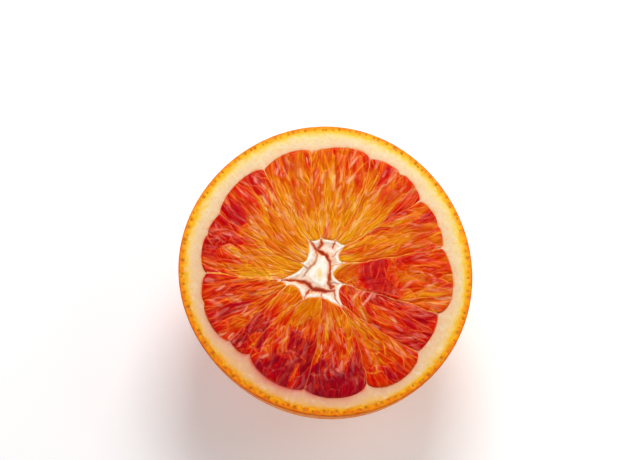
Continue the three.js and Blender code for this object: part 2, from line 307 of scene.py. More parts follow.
class Shader:
    # A material's node tree with short ways to add and join nodes. A source is a node's output,
    # the name of one of the piece's values, a number, or a screen colour.
    def __init__(self, name):
        self.material = bpy.data.materials.new(name)
        self.material.use_nodes = True
        self.tree = self.material.node_tree
        self.surface = self.tree.nodes["Principled BSDF"]
        self.place = self.node("ShaderNodeTexCoord").outputs["Object"]

    def node(self, kind, **settings):
        # A new node with its settings.
        made = self.tree.nodes.new(kind)
        for key, value in settings.items():
            setattr(made, key, value)
        return made

    def feed(self, source, socket):
        # A number or a colour goes on the socket itself, anything else is linked to it.
        if isinstance(source, str):
            source = self.node("ShaderNodeAttribute", attribute_name=source).outputs["Fac"]
        if isinstance(source, (int, float)):
            socket.default_value = source
        elif isinstance(source, tuple):
            socket.default_value = paint(*source)
        else:
            self.tree.links.new(source, socket)

    def ramp(self, source, stops):
        # Screen colours at places from 0 to 1, with straight blends between them.
        made = self.node("ShaderNodeValToRGB")
        elements = made.color_ramp.elements
        elements.remove(elements[1])
        for count, (position, *colour) in enumerate(stops):
            stop = elements.new(position) if count else elements[0]
            stop.position, stop.color = position, paint(*colour)
        self.feed(source, made.inputs["Fac"])
        return made.outputs["Color"]

    def fit(self, source, low, high, toLow=0.0, toHigh=1.0):
        # A soft step from toLow, where the source is low, to toHigh.
        made = self.node("ShaderNodeMapRange", interpolation_type="SMOOTHSTEP")
        for key, amount in (("From Min", low), ("From Max", high), ("To Min", toLow), ("To Max", toHigh)):
            made.inputs[key].default_value = amount
        self.feed(source, made.inputs["Value"])
        return made.outputs["Result"]

    def maths(self, operation, first, second):
        # One sum, product or greatest of two sources.
        made = self.node("ShaderNodeMath", operation=operation)
        self.feed(first, made.inputs[0])
        self.feed(second, made.inputs[1])
        return made.outputs["Value"]

    def blend(self, amount, first, second, way="MIX"):
        # From the first colour to the second by an amount from 0 to 1.
        made = self.node("ShaderNodeMix", data_type="RGBA", blend_type=way)
        colours = [socket for socket in made.inputs if socket.name in "AB" and socket.type == "RGBA"]
        self.feed(amount, made.inputs["Factor"])
        self.feed(first, colours[0])
        self.feed(second, colours[1])
        return [socket for socket in made.outputs if socket.type == "RGBA"][0]

    def pattern(self, kind, place, output, **amounts):
        # A texture node at a place, with its amounts on its own sockets.
        made = self.node(kind)
        for key, amount in amounts.items():
            made.inputs[key].default_value = amount
        self.feed(place, made.inputs["Vector"])
        return made.outputs[output]

    def grain(self, size, detail=3.0, roughness=0.55):
        # Noise on the object's own coordinates; size is its coarsest grain in millimetres.
        return self.pattern("ShaderNodeTexNoise", self.place, "Fac", Scale=1000 / size, Detail=detail,
                            Roughness=roughness)

    def fibres(self, wide, long, detail=2.0):
        # Noise drawn out along the sacs, on their own map, which is in millimetres.
        scaled = self.node("ShaderNodeVectorMath", operation="MULTIPLY")
        scaled.inputs[1].default_value = (1 / wide, 1 / long, 1)
        self.feed(self.node("ShaderNodeUVMap", uv_map="grain").outputs["UV"], scaled.inputs[0])
        return self.pattern("ShaderNodeTexNoise", scaled.outputs["Vector"], "Fac", Scale=1.0,
                            Detail=detail)

    def pores(self, size):
        # Distance to the nearest of many scattered points; size is about their distance apart.
        return self.pattern("ShaderNodeTexVoronoi", self.place, "Distance", Scale=1000 / size)

    def bump(self, heights):
        # Stacked bumps, each a height source with its depth in millimetres.
        normal = None
        for source, depth in heights:
            made = self.node("ShaderNodeBump")
            made.inputs["Strength"].default_value = 1.0
            made.inputs["Distance"].default_value = depth * 0.001
            self.feed(source, made.inputs["Height"])
            if normal:
                self.feed(normal, made.inputs["Normal"])
            normal = made.outputs["Normal"]
        self.feed(normal, self.surface.inputs["Normal"])

    def finish(self, colour, roughness, **sockets):
        # Colour, roughness and the surface's other sockets; gives the finished material.
        self.feed(colour, self.surface.inputs["Base Color"])
        self.feed(roughness, self.surface.inputs["Roughness"])
        for key, amount in sockets.items():
            self.surface.inputs[key.replace("_", " ")].default_value = amount
        return self.material


def pulpMaterial():
    # Pigment runs from yellow-orange through red to purple; strands and walls are paler, and glints are pale
    # streaks, partly pale sacs and partly painted highlights of the wet pulp.
    shader = Shader("wet pulp")
    drift = shader.fit(shader.fibres(0.5, 4.0, 4.0), 0.3, 0.7, -0.07, 0.07)
    red = shader.maths("ADD", "redness", drift)
    flesh = shader.ramp(red, [
        (0.00, 226, 144, 0), (0.20, 219, 112, 0), (0.38, 213, 72, 0), (0.55, 214, 36, 0),
        (0.70, 209, 5, 2), (0.84, 188, 0, 14), (1.00, 142, 0, 30)])
    strandColour = shader.ramp(red, [
        (0.00, 255, 200, 38), (0.25, 255, 176, 34), (0.60, 255, 130, 36), (0.85, 246, 98, 46),
        (1.00, 206, 70, 50)])
    glintColour = shader.ramp(red, [
        (0.00, 255, 212, 142), (0.50, 255, 192, 146), (0.80, 255, 174, 152), (1.00, 236, 138, 132)])
    thread = shader.fit(shader.fibres(0.3, 2.6, 3.0), 0.54, 0.76, 0.0, 0.3)
    lined = shader.blend(shader.maths("MAXIMUM", "strand", thread), flesh, strandColour)
    shaded = shader.blend("shade", lined, (204, 96, 8), "MULTIPLY")
    # Painted highlights, partly pale sacs: the glint colour over the pulp.
    glinting = shader.blend("glint", shaded, glintColour)
    shader.bump([(shader.fibres(0.4, 1.8, 2.0), 0.07), (shader.grain(0.8, 3.0), 0.04)])
    rough = shader.fit(shader.grain(1.2), 0.3, 0.7, 0.1, 0.22)
    return shader.finish(glinting, rough, Subsurface_Weight=0.12, Subsurface_Radius=(1.0, 0.3, 0.1),
                         Subsurface_Scale=0.0005, IOR=1.35, Specular_IOR_Level=0.08)


def membraneMaterial():
    # Thin orange skin, stained red by the juice in places, that turns to white pith at its ends.
    shader = Shader("membrane")
    tint = shader.ramp("pith", [(0.0, 248, 162, 40), (0.5, 250, 192, 90), (1.0, 252, 232, 200)])
    mottled = shader.blend(shader.fit(shader.grain(2.2), 0.4, 0.6, 0.0, 0.75), tint, (234, 96, 20))
    stained = shader.blend("tone", mottled, (216, 66, 44))
    shader.bump([(shader.grain(0.4), 0.03)])
    return shader.finish(stained, 0.35, Subsurface_Weight=0.15, Subsurface_Radius=(1.0, 0.5, 0.2),
                         Subsurface_Scale=0.0006, IOR=1.37, Specular_IOR_Level=0.3)


def pithMaterial():
    # Cream, spongy: yellow next to the peel, pinker and darker on one side, which is a pink tint with painted
    # shade, stained next to the pulp.
    shader = Shader("pith")
    uneven = shader.fit(shader.grain(1.5, 4.0), 0.3, 0.7, -0.075, 0.075)
    cream = shader.ramp(shader.maths("ADD", "inward", uneven), [
        (0.00, 248, 184, 18), (0.07, 248, 197, 48), (0.17, 248, 212, 106), (0.30, 242, 216, 152),
        (0.60, 237, 211, 170), (0.86, 236, 204, 164), (0.94, 236, 192, 152), (1.00, 236, 160, 110)])
    # A pink tint with painted shade: the multiply makes one side pinker and darker.
    rosyShade = shader.blend("rosyShade", cream, (244, 192, 196), "MULTIPLY")
    flecked = shader.blend(shader.fit(shader.grain(0.7, 4.0, 0.7), 0.42, 0.7, 0.0, 0.5), rosyShade,
                           (238, 182, 92))
    pale = shader.blend(shader.fit(shader.grain(1.7, 4.0, 0.6), 0.5, 0.8, 0.0, 0.45), flecked,
                        (252, 233, 204))
    stained = shader.blend("stain", pale, (214, 48, 66))
    shader.bump([(shader.grain(0.5, 4.0, 0.6), 0.06), (shader.grain(2.4), 0.1)])
    return shader.finish(stained, 0.6, Subsurface_Weight=0.2, Subsurface_Radius=(1.0, 0.7, 0.4),
                         Subsurface_Scale=0.0008, IOR=1.36, Specular_IOR_Level=0.15)


def peelEdgeMaterial():
    # The cut peel: orange at the skin, yellow inwards, with olive-brown oil glands and darker blotches, and
    # browner on one side, partly its own colour and partly painted shade.
    shader = Shader("cut peel")
    uneven = shader.fit(shader.grain(1.4, 3.0), 0.3, 0.7, -0.24, 0.24)
    band = shader.ramp(shader.maths("ADD", "inward", uneven), [
        (0.00, 236, 112, 2), (0.22, 246, 142, 2), (0.50, 250, 162, 4), (0.78, 253, 182, 10),
        (1.00, 253, 196, 26)])
    # Painted shade, partly the peel's own browner colour: the band is darker and browner where the blotches
    # are strongest.
    shadedBrowner = shader.blend(shader.maths("MULTIPLY", "blotch", 0.6), band, (250, 206, 150), "MULTIPLY")
    blotch = shader.maths("MULTIPLY", shader.fit(shader.grain(1.0, 2.0), 0.42, 0.62), "blotch")
    blotched = shader.blend(blotch, shadedBrowner, (234, 116, 2))
    dotted = shader.blend("gland", blotched, (176, 92, 4))
    shader.bump([(shader.grain(0.4, 3.0), 0.04)])
    return shader.finish(dotted, 0.4, Subsurface_Weight=0.1, Subsurface_Radius=(1.0, 0.5, 0.15),
                         Subsurface_Scale=0.0005, IOR=1.4, Specular_IOR_Level=0.15)


def peelMaterial():
    # Orange with a red blush on one side, painted shade a little under the rim, and darker pores of two
    # sizes.
    shader = Shader("peel")
    patches = shader.fit(shader.grain(20, 5.0, 0.6), 0.34, 0.66, 0.25, 1.0)
    blushAndRimShade = shader.maths("MULTIPLY", "blushAndRimShade", patches)
    speckle = shader.fit(shader.grain(1.1, 3.0, 0.75), 0.40, 0.64, -0.13, 0.15)
    small = shader.fit(shader.pores(1.25), 0.14, 0.36, 0.2, 0.0)
    large = shader.maths("MULTIPLY", "pore", 0.26)
    depth = shader.maths("ADD", shader.maths("ADD", blushAndRimShade, speckle), shader.maths("ADD", small, large))
    skin = shader.ramp(depth, [
        (0.00, 255, 158, 2), (0.20, 255, 134, 0), (0.42, 246, 98, 0), (0.62, 228, 62, 8),
        (0.80, 192, 36, 20), (1.00, 140, 20, 24)])
    shader.bump([(shader.fit(shader.pores(1.25), 0.0, 0.5), 0.1), (shader.grain(0.3, 2.0), 0.01)])
    rough = shader.fit(shader.grain(3.0), 0.3, 0.7, 0.32, 0.44)
    return shader.finish(skin, rough, Subsurface_Weight=0.08, Subsurface_Radius=(1.0, 0.4, 0.1),
                         Subsurface_Scale=0.0008, IOR=1.4, Specular_IOR_Level=0.1)


def coreMaterial():
    # White sponge, with painted tan shade where it lies low, orange next to the pulp, with red-brown and
    # olive cracks.
    shader = Shader("core")
    sponge = shader.ramp(shader.grain(1.1, 4.0, 0.6), [
        (0.30, 242, 228, 210), (0.52, 254, 246, 232), (0.70, 255, 252, 244)])
    # Painted shade: the low sponge between plug and arches is tinted tan.
    hollowShade = shader.maths("MULTIPLY", "low", shader.fit(shader.grain(1.6), 0.35, 0.65, 0.1, 0.55))
    colour = shader.blend("warm", sponge, (244, 206, 104))
    for amount, over in ((hollowShade, (224, 160, 112)), ("juice", (240, 148, 44)), ("olive", (164, 96, 20)),
                         ("fringe", (242, 138, 48)), ("crack", (200, 70, 8)), ("dark", (158, 36, 0))):
        colour = shader.blend(amount, colour, over)
    shader.bump([(shader.grain(0.5, 4.0, 0.6), 0.06)])
    return shader.finish(colour, 0.5, Subsurface_Weight=0.2, Subsurface_Radius=(1.0, 0.6, 0.4),
                         Subsurface_Scale=0.0006, IOR=1.36, Specular_IOR_Level=0.2)


def buttonMaterial():
    # Dry wood in shades of greenish brown, browner between its lobes.
    shader = Shader("stem button")
    wood = shader.ramp(shader.grain(1.0, 5.0, 0.7), [
        (0.30, 92, 64, 30), (0.48, 140, 120, 62), (0.66, 186, 172, 116), (0.80, 214, 196, 150)])
    ridged = shader.blend("ridge", wood, (110, 60, 20))
    shader.bump([(shader.grain(0.5, 5.0, 0.7), 0.12)])
    return shader.finish(ridged, 0.75, IOR=1.4)


pulp = {
    "rows": 220, "columns": 150, "crowding": (0.6, 0.5),  # how much both are drawn to the border
    "border": 0.04,  # rim of a segment above the cut
    "rise": 0.22,  # middle above the cut
    "shoulder": 0.6,  # width of the rounded border
    "fan": (0.45, 0.55),  # powers of the span here and of the widest span, in half a segment's width
    "sacWidth": 1.6, "sacLength": 8.0,  # in the middle of a segment
    "endWidth": 1.8, "endLength": 4.0,  # of the plump sacs next to the wall
    "widths": (0.6, 1.4), "lengths": (0.7, 1.35),  # how much single sacs differ from these
    "wallZone": (0.74, 0.97),  # where the sacs change from the one size to the other
    "bulb": 0.4, "bulbRange": (0.5, 1.5),  # how much wider a sac gets towards the wall
    "lean": 14,  # degrees, the usual lean of a sac
    "disorder": 1.6,  # how much more they lean where the pulp is crumbled
    "swirl": (0.44, 3.6, 4.6, 14),  # neighbours lean together: radians, width, length, seed
    "crossSoft": 0.08,  # part of its length over which a segment's sacs turn crosswise
    "shorten": 0.7,  # part of its length that a sac loses where it's cut across
    "tries": 24, "probes": 400,  # random places for each sac, and to count the sacs
    "density": 1.15, "beyond": 1.02,  # sacs on the room of one, and how far they go, 1 is the wall
    "ownTone": (0.09, 0.54),  # how much sacs differ: in orange pulp, and more with deeper pigment
    "apart": 0.8, "near": 1.3,  # how far neighbours differ, and the reach of that, in sac sizes
    "calmTone": 0.75,  # part of its tone that a sac loses in a calm place
    "endTone": 0.06, "streakTone": 0.035,  # pigment added at the outer end of a sac, and by streaks
    "mixWidth": 0.4,  # millimetres from its edge in which a sac takes on its neighbour's pigment
    "crumble": (0.34, 0.33),  # pigment of the dark flecks, and taken off by the pale ones
    "deepStart": 0.72,  # pigment above this is held back
    "deepest": (0.12, 0.16), "deepTurn": 192, "deepSpread": 40,  # to so much more, and more on one side
    "plump": 0.14, "step": 0.042, "tilt": 0.08,  # dome, random level and slope of a sac
    "strandHeight": 0.04, "creaseDepth": 0.035, "glintHeight": 0.05, "streakHeight": 0.01,
    "relief": (-0.3, 0.2),  # lowest and highest of all these together
    "borderRelief": 0.12,  # part of it that is left at the border of the segment
    "domeMiddle": 0.6,  # part of a dome's height that counts as level
    "waves": [(0.14, 4.5, 2.6, 11), (0.03, 1.5, 0.9, 12)],  # sideways: rise, length, width, seed
    "endWaves": (0.5, 0.2),  # along the sacs, and where they lie crosswise
    "calmed": 0.85,  # part of its fine lines that a calm place loses
    "broadShare": 0.6, "glintBarShare": 0.82, "glintVeil": 0.05,  # strength of broad strands, of glint bars and of glint haze, which are painted highlights
    "flecked": 0.35, "fleckRed": (0.12, 0.4),  # flecks in whole pulp, and pigment at which they set in
    "skirtPatches": (0.7, 0.6, 0.1), "glintPatches": (0.8, 0.4, 0.4),  # mean, spread, least strength
    "boldPatches": (0.5, 0.8, 0.05), "glintBarPatches": (0.75, 0.3, 0.3),
    "creaseLeast": 0.6, "creaseRed": (0.25, 0.55),  # creases in orange pulp, and pigment at which they grow
    "strandLoss": 0.45, "strandRed": (0.78, 0.95),  # what strands and glints lose in deep pigment
    "glintLoss": 0.5, "glintRed": (0.6, 1.0),
    "glintClouds": (4.5, 22, 2), "patchStep": (0.1, 0.6), "glintVeilStep": (-0.3, 0.5),
    "wallShare": 0.55, "strandShare": 0.95, "glintShare": 0.85,  # how clear they are in the colour
    "skirt": [(0.6, 0.18), (0.7, 0.25), (0.45, 0.16)],  # strength and width at the sides, tip and wall
    "sacWall": (0.06, 0.06), "sacWallLeast": 0.15,  # width, more where bold, and strength where calm
    "flankShade": 0.45, "creaseShade": 0.7, "wallShade": 0.1, "lowShade": 0.25,
    "flank": (0.3, 0.24, 0.15),  # shade on a sac: from its border, width, softness at its middle
    "flankLeast": 0.35, "flankAlong": (0.1, 0.5),  # what is left of it at the core, and where it grows
    "wallShadeWidth": 0.2, "lowLevels": (0.3, 1.6),
    "belowRed": 0.3,  # pigment under the cut
    "redPlaces": (0.0, 0.22, 0.55, 0.82, 1.0),  # of the inner amount, middle one and wall's
    "redClouds": [(0.11, 5, 3, 4), (0.14, 2, 4, 2)],  # strength, size, seed and layers
    "cloudShare": (0.35, 1.3),  # of these in pulp without pigment, and more with it
    "sideAngles": (0.04, 0.12, 0.3, 0.55, 0.8, 1.05, 1.3, 1.46), "closing": 1.5,  # last, its point
    "sideInset": 0.995,  # the sides start a little inside the border
    "membraneHalf": 0.06,  # half the gap that is left for a membrane
    "leastSpan": 0.4,  # at a tip that is narrower, the gap is a part of this
    "samples": 60,  # even steps along a segment at which its width is taken
}

# How much single fine lines differ from the sizes below, and their bend as a part of their length.
lineRange = {"lengths": (0.4, 1.3), "widths": (0.6, 1.4), "strengths": (0.35, 1.0), "bend": 0.06}

# Fine lines: number on a square millimetre, half length, half width, lean in degrees.
fineLines = {
    "strand": (0.3, 2.2, 0.12, 16),
    "broad": (0.15, 2.6, 0.34, 12),
    "crease": (0.14, 1.6, 0.28, 14),
    "glint": (0.3, 1.0, 0.14, 20),
    "glintBar": (0.12, 1.8, 0.38, 14),
    "paleFleck": (0.55, 0.6, 0.24, 34),
    "darkFleck": (0.65, 0.65, 0.27, 34),
}

# Places with more or less pigment: turn, reach, width across, length along, amount.
stains = [
    (36, 25.5, 2.4, 6.0, 0.25), (50, 24.0, 1.1, 4.5, 0.1), (62, 27.5, 1.8, 4.0, 0.25),
    (53, 22.0, 0.8, 5.0, 0.3), (85, 24.0, 1.0, 5.0, 0.3), (91, 25.0, 0.8, 3.0, 0.2),
    (97, 12.4, 3.8, 3.3, 0.85), (110, 17.5, 1.6, 2.8, 0.5), (101, 6.0, 3.0, 3.0, -0.12),
    (86, 22.0, 1.0, 5.0, 0.25), (100, 22.0, 3.0, 4.0, -0.12), (121, 15.6, 2.4, 4.0, 0.45),
    (128, 24.0, 2.0, 6.0, 0.1), (147, 31.5, 4.6, 2.4, 0.45), (163, 28.0, 1.2, 4.0, 0.2),
    (175, 30.5, 7.5, 4.0, 0.12), (214, 22.0, 2.2, 4.0, -0.3), (196, 11.7, 3.2, 2.6, -0.15),
    (246, 22.0, 1.6, 7.0, 0.15), (258, 25.5, 2.0, 3.4, 0.2), (288, 27.0, 3.0, 3.0, 0.3),
    (281, 28.5, 1.4, 3.0, 0.2), (301, 26.6, 1.8, 3.6, 0.35), (263.3, 17.5, 1.3, 9.0, -0.25),
    (305, 12.0, 1.0, 3.2, 0.3), (335, 27.2, 1.5, 1.8, 0.4), (351, 27.4, 0.8, 2.4, 0.5),
    (358, 8.8, 0.9, 1.8, 0.35), (10, 26.0, 1.2, 5.0, 0.15), (325, 28.2, 1.6, 1.6, 0.25),
]

# Places crowded with glints: turn, reach, radius.
glintPlaces = [
    (319, 22.0, 3.4), (323, 28.6, 2.2), (335, 27.0, 1.6), (257, 26.5, 3.0), (240, 25.4, 2.6),
    (211, 26.6, 4.0), (1, 22.4, 3.4), (288, 27.2, 2.6), (126, 16.0, 3.0), (53, 22.0, 2.0),
    (94, 26.0, 2.4), (174, 26.0, 4.0), (36, 26.0, 2.4), (12, 16.0, 2.6), (340, 18.0, 2.6),
    (331, 15.0, 2.0), (200, 24.0, 2.6), (221, 21.0, 2.4), (282, 24.0, 2.6), (303, 21.0, 2.4),
]

# Places where the sacs are smooth and have few fine lines: turn, reach, radius.
calmPlaces = [
    (98, 12.8, 5.0), (196, 11.7, 3.4), (200, 7.0, 2.6), (174, 31.0, 4.4), (101, 6.5, 2.2),
    (86, 20.0, 3.0), (206, 28.0, 3.4), (45, 24.0, 2.4), (345, 27.0, 2.4), (72, 25.0, 3.0),
    (307, 25.0, 3.0),
]

# Places where the sacs are cut across and look almost round: turn, reach, radius.
shortPlaces = [
    (97, 25.0, 5.0), (112, 26.0, 3.0), (147, 30.5, 3.0), (75, 25.0, 2.5), (205, 26.0, 4.0),
    (222, 23.0, 3.0), (176, 30.0, 4.0), (344, 28.0, 2.5), (192, 13.0, 3.5), (285, 20.0, 3.0),
    (40, 27, 2.5),
]

# Places where the pulp is crumbled into small flecks: turn, reach, radius.
crumblyPlaces = [(205, 24.0, 7.0), (182, 27.0, 7.0), (224, 24.0, 4.5), (285, 26.0, 5.0), (150, 26.0, 5.0)]

# Single clear lines: start x and y, end x and y, bend, half width, strength.
clearStrands = [
    (10.9, 27.2, 6.6, 22.4, 0.3, 0.18, 0.9), (-15.2, -15.7, -10.4, -12.5, 0.3, 0.18, 0.7),
    (0.2, -12.0, -1.2, -15.2, 0.3, 0.2, 0.8), (3.0, -15.4, 4.1, -18.8, 0.2, 0.18, 0.8),
    (-19.2, -14.6, -15.2, -10.4, 0.4, 0.2, 0.7), (-25.5, -6.8, -22.2, -3.6, 0.3, 0.18, 0.7),
    (11.6, 1.3, 11.8, -2.6, 0.3, 0.13, 0.7), (13.7, 1.0, 12.0, -4.0, -0.4, 0.14, 0.7),
    (14.5, 0.6, 15.3, -3.4, -0.2, 0.15, 0.7), (16.2, 0.9, 15.6, -3.2, 0.3, 0.13, 0.6),
    (9.6, 0.8, 9.7, -2.4, 0.0, 0.12, 0.6), (12.8, -5.6, 20.2, -7.9, 0.3, 0.16, 0.8),
    (16.6, -4.6, 19.6, -8.0, 0.3, 0.15, 0.7), (15.4, -9.4, 19.0, -7.6, 0.2, 0.15, 0.6),
]
clearGlints = [
    (6.3, -9.2, 9.2, -5.6, -0.2, 0.34, 0.8), (8.9, -10.0, 12.1, -6.0, 0.2, 0.3, 1.0),
    (8.6, -7.4, 10.3, -5.6, 0.1, 0.3, 0.75), (11.4, -8.2, 12.6, -6.2, 0.2, 0.36, 0.6),
    (-15.4, 18.8, -13.8, 15.9, 0.2, 0.34, 0.9), (-13.2, 19.6, -11.6, 16.6, 0.2, 0.32, 0.7),
    (-12.0, 15.4, -10.8, 12.9, 0.1, 0.4, 0.6), (-17.4, 23.6, -16.8, 21.4, 0.1, 0.4, 0.7),
    (-11.5, 25.6, -11.9, 23.4, 0.1, 0.3, 0.8), (-15.8, 21.8, -14.4, 19.8, 0.1, 0.3, 0.7),
    (-25.6, 8.9, -22.4, 8.2, 0.2, 0.24, 0.7), (-24.4, 4.4, -22.4, 5.6, 0.1, 0.24, 0.6),
    (-27.0, -6.0, -24.4, -4.4, 0.2, 0.26, 0.8), (-20.6, -12.0, -18.8, -9.6, 0.2, 0.24, 0.7),
    (8.0, 23.8, 5.4, 21.3, 0.1, 0.5, 0.8), (8.4, 28.3, 6.0, 25.2, 0.1, 0.26, 0.8),
    (-0.3, 24.2, -0.6, 21.2, 0.1, 0.36, 0.8), (2.5, 22.3, 2.4, 19.2, 0.1, 0.26, 0.6),
    (-0.7, 12.4, -0.9, 10.2, 0.1, 0.34, 0.8), (0.9, 12.4, 0.6, 9.6, 0.1, 0.36, 0.8),
    (11.6, 16.2, 9.8, 13.9, 0.1, 0.4, 0.6), (8.0, 12.2, 6.6, 9.8, 0.1, 0.3, 0.7),
    (10.2, 20.1, 11.0, 18.0, 0.2, 0.4, 0.5), (-9.6, 18.9, -7.7, 16.4, 0.1, 0.36, 0.6),
    (-6.0, 25.4, -5.5, 22.2, 0.1, 0.3, 0.6), (24.4, -5.0, 28.1, -3.7, 0.2, 0.24, 0.7),
    (-11.4, -19.3, -8.8, -17.2, 0.2, 0.3, 0.7), (-16.0, -22.9, -13.6, -21.8, 0.1, 0.34, 0.8),
]

# Segments whose inner sacs lie crosswise: number, how far along they reach, degrees of turn.
crosswise = {3: (0.62, 76), 4: (0.42, -62)}


def bells(points, places):
    # The strongest of several flat-topped round bells, each given by turn, reach and radius.
    best = np.zeros(points.shape[:-1])
    for turn, reach, radius in places:
        away = points - polar(turn, reach)
        best = np.maximum(best, np.exp(-((away ** 2).sum(-1) / radius ** 2) ** 2))
    return best


def stainAt(points):
    # Each stain is a flat-topped bell with its own width and length, turned to the radius.
    total = np.zeros(points.shape[:-1])
    for turn, reach, width, length, amount in stains:
        away = points - polar(turn, reach)
        outward = polar(turn, 1.0)
        along = away @ outward
        across = away @ np.array([outward[1], -outward[0]])
        total += amount * np.exp(-((across / width) ** 2 + (along / length) ** 2) ** 1.6)
    return total


def pigment(row, points, along):
    # Three amounts joined by straight lines along the segment, plus the stains and two clouds,
    # which are stronger in redder pulp.
    inner, middle, wall = row["red"]
    level = np.interp(along, pulp["redPlaces"], [inner, inner, middle, wall, wall])
    uneven = sum(strength * cloud(points, *kind) for strength, *kind in pulp["redClouds"])
    least, more = pulp["cloudShare"]
    return level + stainAt(points) + uneven * (least + more * np.clip(level, 0, 0.55))


def lineField(x, y, lines):
    # How strongly the nearest line covers each point: a bell across a line's width that ends
    # softly at both tips; the line bends by a parabola.
    best = np.zeros(len(x))
    for middleX, middleY, turn, halfLong, halfWide, bend, strength in lines:
        dx, dy = x - middleX, y - middleY
        close = np.flatnonzero(np.abs(dx) + np.abs(dy) < 1.5 * halfLong + 4 * halfWide)
        along = (dx[close] * math.sin(turn) + dy[close] * math.cos(turn)) / halfLong
        across = dx[close] * math.cos(turn) - dy[close] * math.sin(turn) - bend * (1 - along ** 2)
        taper = np.clip(1 - along ** 2, 0, 1) ** 0.7
        best[close] = np.maximum(best[close], strength * taper * bell(across, halfWide))
    return best


def placedLines(rows):
    # Rows given by their two ends, as rows for lineField.
    x0, y0, x1, y1, bend, halfWide, strength = np.array(rows).T
    half = np.hypot(x1 - x0, y1 - y0) / 2
    return np.stack([(x0 + x1) / 2, (y0 + y1) / 2, np.arctan2(x1 - x0, y1 - y0), half, halfWide,
                     bend, strength], -1)


